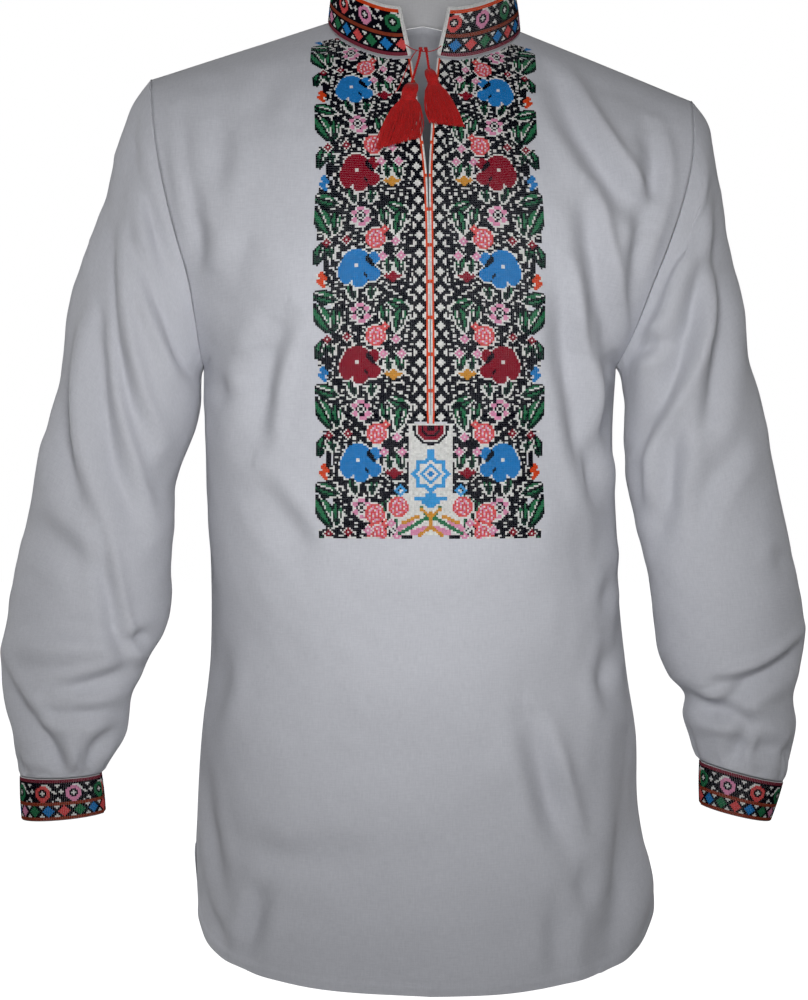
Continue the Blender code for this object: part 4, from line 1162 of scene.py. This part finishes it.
# %% White field, rosette and star
FIELD_COLUMNS, SPRIG_TOP, SPRIG_COLUMNS = 12, 24, 18
ROSETTE_ROW, STAR_ROW, STAR_STRAIGHT, STAR_TURNED = 60, 35, 7.2, 10
FOOT = ((24, 2), (23, 2), (22, 8), (21, 8), (20, 4), (19, 4), (18, 2), (17, 1))  # row, columns
BESIDE_COLUMN, BESIDE_ROW = 16, 26

under_slit = row_of < SLIT_ROW - 1
inner = under_slit & (column_of < FIELD_COLUMNS)
field_edge = np.where(row_of > SPRIG_TOP, FIELD_COLUMNS, SPRIG_COLUMNS)
chart[under_slit & (row_of > 1) & (column_of < field_edge)] = "w"

rosette = np.hypot(column_of, row_of - ROSETTE_ROW)
for smallest, largest, letter in ((7.7, 9.2, "k"), (-1, 6.9, "m"), (3.4, 4.8, "k"), (-1, 1.6, "k")):
    chart[inner & (row_of <= ROSETTE_ROW + 1) & (rosette > smallest) & (rosette < largest)] = letter

above_star = row_of - STAR_ROW
straight, turned = np.maximum(column_of, np.abs(above_star)), column_of + np.abs(above_star)
star = np.minimum(straight / STAR_STRAIGHT, turned / STAR_TURNED)
chart[inner & (star <= 1)] = "l"
chart[inner & (star <= 0.72)] = "w"
chart[inner & (turned <= 5) & (turned >= 4)] = "l"
chart[inner & (turned <= 1)] = "b"
chart[inner & (column_of <= 1) & (above_star > 9) & (above_star < 14)] = "l"
for row, columns in FOOT:
    chart[(row_of == row) & (column_of <= columns)] = "l"
beside = np.abs(column_of - BESIDE_COLUMN) + np.abs(row_of - BESIDE_ROW)
chart[(beside <= 3) & (beside >= 2)] = "l"

# %% Crossed sprig
SPRIG = (  # from column and row, to column and row, floss, half width
    (2, 5, 9, 3, "p", 1.6), (10, 9, 17, 5, "p", 1.4), (0, 12, 17, 2, "g", 1.0), (0, 10, 5, 17, "g", 0.9),
    (0, 14, 0, 6, "y", 1.0), (0, 6, 6, 1, "y", 0.9), (0, 12, 5, 16, "y", 0.8), (6, 12, 15, 8, "y", 1.0),
)
SPRIG_ROSES = (17, 17), (30, 13)
for *run, letter, half_width in SPRIG:
    chart[near_run(*run) < half_width] = letter
for column, row in SPRIG_ROSES:
    stamp(ROSE, column, row)
    stamp(BLOSSOM, column + 4, row - 9)
used_floss, counts = np.unique(chart, return_counts=True)
print("bib cells by floss:", dict(zip(used_floss.tolist(), counts.tolist())))

# %% [markdown]
# ### Charts of the bands
# The collar and the cuffs carry two rows between stripes: rings above, diamonds below, on black. Each row
# is one small chart repeated along the band in a cycle of colours.

# %% Band charts
BAND_ROWS_OF_MOTIFS = {"diamonds": (DIAMOND, "D", "cbgcbgpb"), "rings": (RING, "R", "gpcgcb")}
COLLAR_LAYOUT = ["s", "s", "k", "diamonds", "k", "r", "r", "k", "rings", "o", "o", "w"]
CUFF_LAYOUT = ["r", "r", "diamonds", "r", "r", "rings", "k", "s", "s"]
COLLAR_COLUMNS, CUFF_COLUMNS = 262, 160


def band_chart(columns, layout, first):
    """Stacks stripes and rows of motifs; counting starts at first, so that motifs sit whole at the ends."""
    place = np.arange(columns) + first
    parts = []
    for kind in layout:
        if kind in BAND_ROWS_OF_MOTIFS:
            motif, letter, cycle = BAND_ROWS_OF_MOTIFS[kind]
            wide = motif.shape[1]
            colour = np.array(list(cycle))[place // wide % len(cycle)]
            parts.append(shade(motif[:, place % wide], letter, colour))
        else:
            parts.append(np.full((1, columns), kind))
    return np.concatenate(parts)


cuff_chart = band_chart(CUFF_COLUMNS, CUFF_LAYOUT, 3)
collar_chart = band_chart(COLLAR_COLUMNS, COLLAR_LAYOUT, 1)
collar_chart[:, [0, -1]] = "w"
print("collar chart:", collar_chart.shape, "cuff chart:", cuff_chart.shape)

# %% [markdown]
# ### From chart to stitches
# A stitch has two legs, from corner to opposite corner of its cell. Each leg is a narrow kite whose middle
# is raised, so it has only four triangles, and the second leg crosses over the first. Ends of neighbouring
# stitches meet where the needle goes through the cloth. A small random tone for each stitch is the
# unevenness of hand-dyed floss.

# %% Floss finish
def floss_finish():
    """Floss colour from the mesh, with fine fibre in it: noise far finer than a stitch."""
    material, tree, shader = new_finish("cross-stitch floss")
    colour = node(tree, "ShaderNodeAttribute", attribute_name="floss").outputs["Color"]
    place = node(tree, "ShaderNodeTexCoord").outputs["Object"]
    fibre = node(tree, "ShaderNodeTexNoise", {"Vector": place, "Scale": 2600.0, "Detail": 2.0}).outputs[0]
    dim = node(tree, "ShaderNodeMapRange", {0: fibre, 1: 0.3, 2: 0.7, 3: 0.82, 4: 1.12}).outputs[0]
    mixed = node(tree, "ShaderNodeVectorMath", {0: colour, 3: dim}, operation="SCALE").outputs[0]
    tree.links.new(mixed, shader.inputs["Base Color"])
    bump = node(tree, "ShaderNodeBump", {"Height": fibre, "Strength": 0.4, "Distance": 0.0001})
    tree.links.new(bump.outputs[0], shader.inputs["Normal"])
    shader.inputs["Roughness"].default_value = 0.9
    shader.inputs["Specular IOR Level"].default_value = 0.03
    return material


floss = floss_finish()

# %% Stitch maker
FLOSS_HALF_WIDTH = 0.63  # of a leg, as a share of the cell
END_LIFT, SIDE_LIFT, TOP_LIFT, SECOND_LEG_LIFT = 0.05, 0.08, 0.42, 0.16
TONE_SPREAD = 0.07
LEG_POINTS = 5
LEG_FACES = np.array([[0, 2, 1], [0, 3, 2], [1, 2, 4], [2, 3, 4]])
# where the points of both legs lie in their cell of the flat map, kept in from its edges
CELL_PLACES = np.array([[0.1, 0.1], [0.6, 0.4], [0.5, 0.5], [0.4, 0.6], [0.9, 0.9],
                        [0.9, 0.1], [0.6, 0.6], [0.5, 0.5], [0.4, 0.4], [0.1, 0.9]])
tones = np.random.default_rng(5)


def stitches(name, corners, outward, letters, kept=True):
    """One mesh of crosses: a leg is its two ends and three points at its middle, lifted along the normal.

    It takes the grid of cell corners, the unit normals there, the chart, and which of its cells to fill.
    """
    filled = (letters != ".") & kept
    rows, columns = np.nonzero(filled)
    low_left, low_right = corners[rows, columns], corners[rows, columns + 1]
    high_left, high_right = corners[rows + 1, columns], corners[rows + 1, columns + 1]
    normal = unit(outward[rows, columns] + outward[rows + 1, columns + 1])
    middle = (low_left + low_right + high_left + high_right) / 4
    size = np.linalg.norm(high_right - low_left, axis=-1, keepdims=True) / np.sqrt(2)
    points = []
    for leg, (first, last) in enumerate(((low_left, high_right), (low_right, high_left))):
        sideways = np.cross(normal, unit(last - first)) * size * FLOSS_HALF_WIDTH
        low, high = normal * (SIDE_LIFT + SECOND_LEG_LIFT * leg), normal * (TOP_LIFT + SECOND_LEG_LIFT * leg)
        ends = [first + normal * END_LIFT, last + normal * END_LIFT]
        points += [ends[0], middle - sideways + low, middle + high, middle + sideways + low, ends[1]]
    vertices = np.stack(points, axis=1)
    faces = np.concatenate([LEG_FACES, LEG_FACES + LEG_POINTS])
    faces = (np.arange(len(rows))[:, None, None] * 2 * LEG_POINTS + faces).reshape(-1, 3)
    start, side_point, top = vertices[0, :3]
    if np.cross(top - start, side_point - start) @ normal[0] < 0:
        faces = faces[:, ::-1]
    flat = (np.stack([columns, rows], axis=-1)[:, None] + CELL_PLACES) / letters.shape[::-1]
    piece = place_piece(name, vertices.reshape(-1, 3), faces, flat.reshape(-1, 2), floss)
    dyed = np.array([FLOSS[letter] for letter in letters[rows, columns]])
    colours = np.ones((len(rows), 4))
    colours[:, :3] = dyed * tones.normal(1, TONE_SPREAD, (len(rows), 1))
    layer = piece.data.color_attributes.new("floss", "FLOAT_COLOR", "POINT")
    layer.data.foreach_set("color", np.repeat(colours, 2 * LEG_POINTS, axis=0).astype(np.float32).ravel())
    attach(piece, "root")
    print(f"{name}: {len(rows)} stitches, {len(faces)} triangles")
    return piece


# %% [markdown]
# ### Laying the chart on the front
# The bib's cells are counted along the cloth, not across the view. A fine grid of the dressed front gives
# the length along the centre line for each row, and along each row for each column. Looking those lengths
# up backwards gives the place of every cell corner, folds and all.

# %% Bib
PITCH = 1.467
BIB_LOW_Z = -423.5
TOP_EASE, EASE_FROM_ROW, EASE_ROWS = 0.11, 150, 130  # cells narrow towards the neck, whose cloth is eased in
LIFT = 0.12  # clear of the flat faces between the cloth's own points
NECK_MARGIN = 0.004  # in levels
FINE_ROWS, FINE_COLUMNS, BIB_REACH = 420, 150, 0.32


def bib_corners(side):
    """Cell corners by arc length: rows up the centre line from the bib's lower edge, columns out along each
    row.

    Also gives how far each corner is below the neck hole, in levels.
    """
    low = (BIB_LOW_Z - UNDERARM_Z) / (UNDERARM_Z - LOWEST_Z)
    levels, places = np.linspace(low, 1, FINE_ROWS), np.linspace(BIB_REACH, 1, FINE_COLUMNS)
    level_grid = np.broadcast_to(levels[:, None], (FINE_ROWS, FINE_COLUMNS))
    grid = dressed_body(level_grid, places, side, "front")[:, ::-1]
    tops = top_levels(places, side, "front")[::-1]
    rows_up = np.concatenate([[0], np.cumsum(np.linalg.norm(np.diff(grid[:, 0], axis=0), axis=1))])
    out = np.linalg.norm(np.diff(grid, axis=1), axis=-1)
    out = np.concatenate([np.zeros((FINE_ROWS, 1)), np.cumsum(out, axis=1)], axis=1)
    row_at = np.interp(np.arange(BIB_ROWS + 1) * PITCH, rows_up, np.arange(float(FINE_ROWS)), right=np.nan)
    corners, below_neck = [], []
    for row, at in enumerate(row_at[~np.isnan(row_at)]):
        first = min(int(at), FINE_ROWS - 2)
        share = at - first
        line, reach, level = (v[first] * (1 - share) + v[first + 1] * share for v in (grid, out, levels))
        ease = 1 - TOP_EASE * smooth((row - EASE_FROM_ROW) / EASE_ROWS)
        wanted = np.arange(BIB_COLUMNS + 1) * PITCH * ease
        corners.append(np.stack([np.interp(wanted, reach, line[:, i]) for i in range(3)], axis=-1))
        below_neck.append(np.interp(wanted, reach, tops) - level)
    return np.array(corners), np.array(below_neck)


bib = {}
for side in ("left", "right"):
    corners, below_neck = bib_corners(side)
    outward = grid_normals(corners) * (-1 if side == "left" else 1)
    inside = below_neck[1:] > NECK_MARGIN
    kept = inside[:, :-1] & inside[:, 1:]
    letters = chart[: len(kept)]
    bib[side] = stitches(f"bib_stitches_{side}", corners + LIFT * outward, outward, letters, kept)

# %% Collar and cuff stitches
END_MARGIN, EDGE_MARGIN = 0.002, 0.015  # shares of a band left bare
band_stitches = {}
for name, surface in BAND_SURFACES.items():
    letters = collar_chart if name == "collar" else cuff_chart
    tall, wide = letters.shape
    around = np.linspace(END_MARGIN, 1 - END_MARGIN, wide + 1)
    corners = surface(around, np.linspace(EDGE_MARGIN, 1 - EDGE_MARGIN, tall + 1))
    outward = grid_normals(corners)
    if ((corners - corners.mean(axis=(0, 1))) * outward).sum(axis=-1).mean() < 0:
        outward = -outward
    band_stitches[name] = stitches(f"{name}_stitches", corners, outward, letters)


# %% [markdown]
# ## Thread, cords and tassels
# A red thread joins the collar's ends. Two laid cords hang from it, and each runs down into a tassel, which
# is a bundle of strands folded over the cord and bound below the fold. A laid cord's section has one lobe
# for each ply, and the lobes turn as they go along. A tassel could be one ridged solid, but separate
# strands give it a soft, ragged foot.

# %% Routes
THREAD_ROUTE = [
    (-15.8, -48.3, -21.6), (-12.8, -50.2, -23.8), (-8.5, -52.9, -26.2), (-3.5, -54.4, -27.6),
    (1, -54.6, -28.0), (5.5, -53.6, -27.4), (9.8, -51.4, -25.6), (13.4, -48.9, -22.8),
]
CORD_ROUTES = {
    "left": [
        (-3.2, -56.1, -26.2), (-3.8, -57.8, -28.4), (-4.4, -59.1, -32.0), (-5.4, -60.6, -36.0),
        (-6.8, -62.8, -41.0), (-8.4, -65.6, -46.5), (-10.2, -69.1, -53.0),
    ],
    "right": [
        (0.9, -56.2, -26.2), (1.3, -57.8, -28.4), (1.8, -59.2, -31.8),
        (2.4, -60.8, -35.6), (3.2, -63.5, -41.5),
    ],
}
LOOSE_ROUTE = [
    (-6.5, -57.0, -27.0), (-10.5, -60.5, -33.0), (-14.5, -63.5, -42.0),
    (-18.5, -66.0, -52.0), (-22.5, -68.0, -60.5), (-26.5, -69.5, -65.0),
]

# %% Sizes of the cords and tassels
THREAD, CORD, STRAND = 0.9, 2.2, 0.62  # diameters
TASSEL_ENDS = {  # x and z of the top and of the foot
    "left":  (-10.2, -53.6, -22.5, -107.0),
    "right": (3.2,   -42.0, 17.5,  -91.0),
}
TASSEL_FOOT = {"left": (19.5, 0.28), "right": (14.5, -0.12)}  # half width, and tilt of the foot
TASSEL = {
    "along": [0,    0.06, 0.14, 0.22, 0.27, 0.4,  0.6,  0.8,  1],
    "wide":  [0.10, 0.27, 0.34, 0.30, 0.27, 0.60, 0.84, 0.95, 1],
    "deep":  [0.9,  4.2,  5.6,  4.6,  3.4,  4.2,  4.8,  5.0,  5.0],
}
TASSEL_CLEARANCE = 1.8
TASSEL_NECK = 0.27


# %% Silk
def silk(name, colour, scale):
    """Mercerised cotton: a deep colour dimmed and lifted by fine streaks of noise, with a soft sheen."""
    material, tree, shader = new_finish(name)
    place = node(tree, "ShaderNodeTexCoord").outputs["Object"]
    fibre = node(tree, "ShaderNodeTexNoise", {"Vector": place, "Scale": scale, "Detail": 2.0}).outputs[0]
    dim = node(tree, "ShaderNodeMapRange", {0: fibre, 1: 0.3, 2: 0.7, 3: 0.72, 4: 1.2}).outputs[0]
    mixed = node(tree, "ShaderNodeVectorMath", {0: colour, 3: dim}, operation="SCALE").outputs[0]
    tree.links.new(mixed, shader.inputs["Base Color"])
    shader.inputs["Roughness"].default_value = 0.6
    shader.inputs["Specular IOR Level"].default_value = 0.3
    shader.inputs["Sheen Weight"].default_value = 0.1
    return material


red_silk = silk("red silk", (0.52, 0.006, 0.006), 900.0)
white_piping = silk("white piping", (0.66, 0.66, 0.66), 1500.0)


# %% Tubes
def along_route(route, step):
    """Evenly spaced points on a smooth curve through a route, with how far along it each one is."""
    route = np.array(route, float)
    lengths = np.concatenate([[0], np.cumsum(np.linalg.norm(np.diff(route, axis=0), axis=1))])
    at = np.linspace(0, lengths[-1], max(4, int(round(lengths[-1] / step)) + 1))
    return np.stack([curve_through(lengths, route[:, i], at) for i in range(3)], axis=-1), at


def tube_rings(path, radius, sides, aside=(0.31, 0.83, 0.47)):
    """Rings of points round a path; radius is an array that broadcasts over (points, sides)."""
    ahead = unit(np.gradient(path, axis=0))
    first = unit(np.cross(ahead, np.array(aside)))
    second = np.cross(ahead, first)
    turn = 2 * np.pi * np.arange(sides) / sides
    ring = first[:, None] * np.cos(turn)[None, :, None] + second[:, None] * np.sin(turn)[None, :, None]
    return path[:, None] + ring * np.broadcast_to(radius, (len(path), sides))[..., None]


def tubes_piece(name, rings_list, finish):
    """Several closed tubes as one mesh: sides, and a point at the middle of each end to close it."""
    points, faces, start = [], [], 0
    for rings in rings_list:
        count, sides = rings.shape[:2]
        index = start + np.arange(count * sides).reshape(count, sides)
        here, ahead = index[:, np.r_[0:sides]], index[:, np.r_[1:sides, 0]]
        quads = np.stack([here[:-1], ahead[:-1], ahead[1:], here[1:]], axis=-1).reshape(-1, 4)
        tip = start + count * sides
        first_cap = np.stack([ahead[0], here[0], np.full(sides, tip)], axis=-1)
        last_cap = np.stack([here[-1], ahead[-1], np.full(sides, tip + 1)], axis=-1)
        points += [rings.reshape(-1, 3), rings[[0, -1]].mean(axis=1)]
        faces += [quads[:, :3], quads[:, [0, 2, 3]], first_cap, last_cap]
        start = tip + 2
    faces = np.concatenate(faces)
    piece = place_piece(name, np.concatenate(points), faces, None, finish)
    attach(piece, "root")
    print(f"{name}: {len(faces)} triangles")
    return piece


def laid_rings(path, at, diameter, plies, pitch, sides):
    """A cord's rings: its radius has a lobe for each ply, turned once every pitch."""
    turn = 2 * np.pi * (np.arange(sides)[None, :] / sides - at[:, None] / pitch)
    return tube_rings(path, diameter / 2 * (0.86 + 0.16 * np.cos(plies * turn)), sides)


# %% Form of a tassel
def chest_y(x, z):
    """How far forward the bare front is at places seen from the front: its nearest point there."""
    levels, places = np.linspace(0.4, 1, 160)[:, None], np.linspace(0.4, 1, 60)[None, :]
    grid = np.broadcast_arrays(levels, places)
    points = np.concatenate([body_points(*grid, side, "front").reshape(-1, 3) for side in ("left", "right")])
    squared = (points[:, 0] - x[:, None]) ** 2 + (points[:, 2] - z[:, None]) ** 2
    return points[squared.argmin(axis=1), 1]


def tassel_form(side, along):
    """A tassel's centres, half widths, half depths and leans at shares along it, just clear of the chest."""
    top_x, top_z, foot_x, foot_z = TASSEL_ENDS[side]
    half_width, tilt = TASSEL_FOOT[side]
    knots, wide, deep = (np.array(TASSEL[column]) for column in ("along", "wide", "deep"))
    wide = wide * half_width
    x, z, lean = top_x + (foot_x - top_x) * knots, top_z + (foot_z - top_z) * knots, tilt * knots
    chest = np.min([chest_y(x + k * wide, z + k * wide * lean) for k in (-1, 0, 1)], axis=0)
    columns = [np.interp(along, knots, v) for v in (x, chest - deep - TASSEL_CLEARANCE, z, wide, deep, lean)]
    return np.stack(columns[:3], axis=-1), *columns[3:]


# %% Collar thread and cords
PATH_STEP = 0.5
CORD_STEP = 0.45
INSIDE_TASSEL = np.array([0.08, 0.16, 0.24, 0.34, 0.44])  # a cord runs on down the middle of its strands
TIE_TURNS, TIE_RADIUS, TIE_THREAD = 3, 1.55, 0.42

thread_path, at = along_route(THREAD_ROUTE, PATH_STEP)
thread_piece = tubes_piece("collar_thread_laid", [laid_rings(thread_path, at, THREAD, 2, 2.2, 10)], red_silk)
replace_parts(thread_piece, "collar_thread")
cord_pieces, cord_paths = {}, {}
for side, route in CORD_ROUTES.items():
    inside, *_ = tassel_form(side, INSIDE_TASSEL)
    cord_paths[side], at = along_route([*route, *inside.tolist()], CORD_STEP)
    rings = laid_rings(cord_paths[side], at, CORD, 3, 7.0, 14)
    cord_pieces[side] = tubes_piece(f"cord_{side}_laid", [rings], red_silk)
    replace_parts(cord_pieces[side], f"cord_{side}")
loose_path, at = along_route(LOOSE_ROUTE, PATH_STEP)
loose_piece = tubes_piece("loose_strand", [laid_rings(loose_path, at, THREAD, 2, 2.4, 10)], red_silk)

turn = np.linspace(0, 2 * np.pi * TIE_TURNS, 20 * TIE_TURNS)
across = (turn / np.pi - TIE_TURNS) / 2
wrap = np.stack([across, TIE_RADIUS * np.cos(turn), TIE_RADIUS * np.sin(turn)], axis=-1)
ties = [tube_rings(np.array(route[0]) + wrap, TIE_THREAD, 8, (1, 0.1, 0.2)) for route in CORD_ROUTES.values()]
ties_piece = tubes_piece("thread_ties", ties, red_silk)

# %% Tassels
STRANDS, STRAND_STEPS, STRAND_SIDES = 165, 22, 5
STRAND_SWELL = 1.3  # an untwisted strand is thicker than its own floss
RAGGED, WAVE = 0.035, 0.05  # as shares of the tassel's length and of its half width
BINDING_TURNS, BINDING_THREAD, BINDING_LOW, BINDING_HIGH = 5, 0.42, 0.045, 0.03
GOLDEN_TURN = np.pi * (3 - np.sqrt(5))
strand_random = np.random.default_rng(11)
shares = np.linspace(0, 1, 101)
tassel_tables = {side: tassel_form(side, shares) for side in TASSEL_ENDS}


def tassel_at(side, along):
    """The tassel's form read from its table, as the chest's depth is slow to look up for every strand."""
    centre, *sizes = tassel_tables[side]
    columns = [np.interp(along, shares, values) for values in (*centre.T, *sizes)]
    return np.stack(columns[:3], axis=-1), *columns[3:]


def tassel_piece(side):
    """Strand k lies at k golden turns and sqrt(k) out from the middle, from its top to the ragged foot."""
    strands = []
    for k in range(STRANDS):
        end = 1 - abs(strand_random.normal(0, RAGGED))
        along = np.linspace(0.015, end, STRAND_STEPS)
        centre, wide, deep, lean = tassel_at(side, along)
        out = np.sqrt((k + 0.5) / STRANDS)
        out = out + (1 - out) * 0.35 * np.clip((TASSEL_NECK - along) / 0.2, 0, 1)
        wave = WAVE * np.sin(9 * along + strand_random.uniform(0, 6.28)) * smooth((along - 0.3) * 2)
        offset_wide = wide * (out * np.cos(k * GOLDEN_TURN) + wave)
        offset_deep = deep * (out * np.sin(k * GOLDEN_TURN) + 2 * wave) * 0.92
        path = centre + np.stack([offset_wide, offset_deep, offset_wide * lean], axis=-1)
        strands.append(tube_rings(path, STRAND / 2 * STRAND_SWELL, STRAND_SIDES, (0.2, 1, 0.1)))
    turn = np.linspace(0, 2 * np.pi * BINDING_TURNS, 18 * BINDING_TURNS)
    bound = np.linspace(TASSEL_NECK - BINDING_LOW, TASSEL_NECK + BINDING_HIGH, len(turn))
    neck, wide, deep, _ = tassel_at(side, bound)
    wrap = neck + np.stack([(wide + 0.5) * np.cos(turn), (deep + 0.5) * np.sin(turn), 0 * turn], axis=-1)
    strands.append(tube_rings(wrap, BINDING_THREAD, 8, (0, 0, 1)))
    piece = tubes_piece(f"tassel_{side}_strands", strands, red_silk)
    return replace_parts(piece, f"tassel_{side}")


tassels = {side: tassel_piece(side) for side in TASSEL_ENDS}

# %% Piping on the collar's edges
PIPING, PIPING_FROM = 1.9, 0.03
ends_up = np.linspace(PIPING_FROM, 1, 24)
top_edge = collar_surface(np.linspace(0, 1, 160), np.array([1.0]))[0]
first_end, last_end = (collar_surface(np.array([end]), ends_up)[:, 0] for end in (0.0, 1.0))
edge = np.concatenate([first_end, top_edge[1:-1], last_end[::-1]])
edge = edge + unit((np.array([0, NECK_Y, 0]) - edge) * [1, 1, 0]) * BAND / 2
rings = tube_rings(edge, PIPING / 2, 10, (0.02, 0.03, 1))
piping = tubes_piece("collar_piping", [rings], white_piping)

# %% [markdown]
# ## Soft pieces
# The cloth pieces are sheets, and each one's flat size is that of its cut: the rectangle of cloth that it
# is cut from, and the area of the shaped piece itself. A sleeve's width is all the way round. The cords
# carry their own routes.

# %% Sheets and their cuts
SHEETS = (  # piece, cut width, cut length, cut area, how it is held, what it hangs from, pieces on it
    (front, 0.56, 0.85, 0.38, "hung", ("back", "collar"), list(bib.values())),
    (back, 0.56, 0.84, 0.36, "hung", ("front", "collar"), []),
    (sleeves["left"], 0.48, 0.60, 0.185, "hung", ("front", "back"), []),
    (sleeves["right"], 0.48, 0.59, 0.17, "hung", ("front", "back"), []),
    (bands["collar"], 0.41, 0.042, 0.0164, "folded", ("front", "back"), [band_stitches["collar"], piping]),
    (bands["cuff_left"], 0.24, 0.036, 0.0083, "folded", ("sleeve_left",), [band_stitches["cuff_left"]]),
    (bands["cuff_right"], 0.24, 0.036, 0.0083, "folded", ("sleeve_right",), [band_stitches["cuff_right"]]),
)
for piece, width, length, area, held, hangs_from, pieces in SHEETS:
    print(f"{piece.name}: cut from {1000 * width:.0f} x {1000 * length:.0f} mm")

# %% Hanging cords and their lengths
HANGING = (  # piece, path, diameter, far end, pieces on it
    (cord_pieces["left"], cord_paths["left"], CORD, "knot", [tassels["left"]]),
    (cord_pieces["right"], cord_paths["right"], CORD, "knot", [tassels["right"]]),
    (loose_piece, loose_path, THREAD, "bare", []),
)
for piece, path, diameter, far_end, pieces in HANGING:
    length = np.linalg.norm(np.diff(path, axis=0), axis=1).sum() * MM
    points = (path * MM).tolist()
    print(f"{piece.name}: {1000 * length:.0f} mm long")


# %% [markdown]
# ## Studio
# A pale floor in front of a plain white surround, with a soft light near the camera. The cloth is brightest
# at the chest and dims towards the hem, which a near light does and a far one doesn't. A weak fill opens
# the shadows on the wearer's left, and two lights behind keep the sides and the back readable. A smaller
# key light would draw hard edges into every fold.

# %% Floor and surround
FLOOR_BELOW_HEM, FLOOR_HALF_WIDTH = 0.25, 9.0
SURROUND, PAPER_GLOW = 0.1, 1.0  # both show white in the view, but light the cloth only a little

paper, paper_tree, paper_shader = new_finish("studio paper")
paper_shader.inputs["Base Color"].default_value = (0.93, 0.93, 0.93, 1)
paper_shader.inputs["Roughness"].default_value = 0.9
paper_shader.inputs["Emission Color"].default_value = (1, 1, 1, 1)
seen = node(paper_tree, "ShaderNodeLightPath").outputs["Is Camera Ray"]
paper_tree.links.new(calc(paper_tree, "MULTIPLY", seen, PAPER_GLOW), paper_shader.inputs["Emission Strength"])
corners = np.array([(-1, -1, 0), (1, -1, 0), (1, 1, 0), (-1, 1, 0)]) * FLOOR_HALF_WIDTH
corners = corners + [0, 0, cad_box[0][2] - FLOOR_BELOW_HEM]
floor = place_piece("floor", corners / MM, [[0, 1, 2, 3]], None, paper)

world = bpy.data.worlds.new("studio")
world.use_nodes = True
surround = world.node_tree.nodes["Background"]
surround.inputs[0].default_value = (1, 1, 1, 1)
seen = node(world.node_tree, "ShaderNodeLightPath").outputs["Is Camera Ray"]
strength = node(world.node_tree, "ShaderNodeMapRange", {0: seen, 3: SURROUND, 4: 1.0}).outputs[0]
world.node_tree.links.new(strength, surround.inputs[1])
bpy.context.scene.world = world
bpy.context.scene.view_settings.view_transform = "Standard"
print("floor at", round(1000 * float(corners[0, 2])), "mm")


# %% Lights
def soft_light(name, place, aim, side, power, spread):
    """A square area light that faces its aim; a spread under 180 degrees keeps its light to the middle."""
    data = bpy.data.lights.new(name, "AREA")
    data.size, data.energy, data.spread = side, power, np.radians(spread)
    light = bpy.data.objects.new(name, data)
    away = np.array(place) - aim
    flat_length = np.hypot(away[0], away[1])
    light.location = place
    light.rotation_euler = (np.arctan2(flat_length, away[2]), 0, np.arctan2(away[1], away[0]) + np.pi / 2)
    bpy.context.scene.collection.objects.link(light)
    return light


soft_light("key", (-0.02, -1.4, -0.1), (-0.03, 0, -0.34), 0.4, 1.62, 60)
soft_light("fill", (1.9, -1.2, -0.1), (0, 0, -0.4), 1.0, 0.6, 180)
soft_light("left and behind", (-2.1, 0.9, 0.3), (0, 0, -0.4), 0.9, 13, 180)
soft_light("right and behind", (1.9, 1.5, 0.0), (0, 0, -0.4), 1.2, 8, 180)
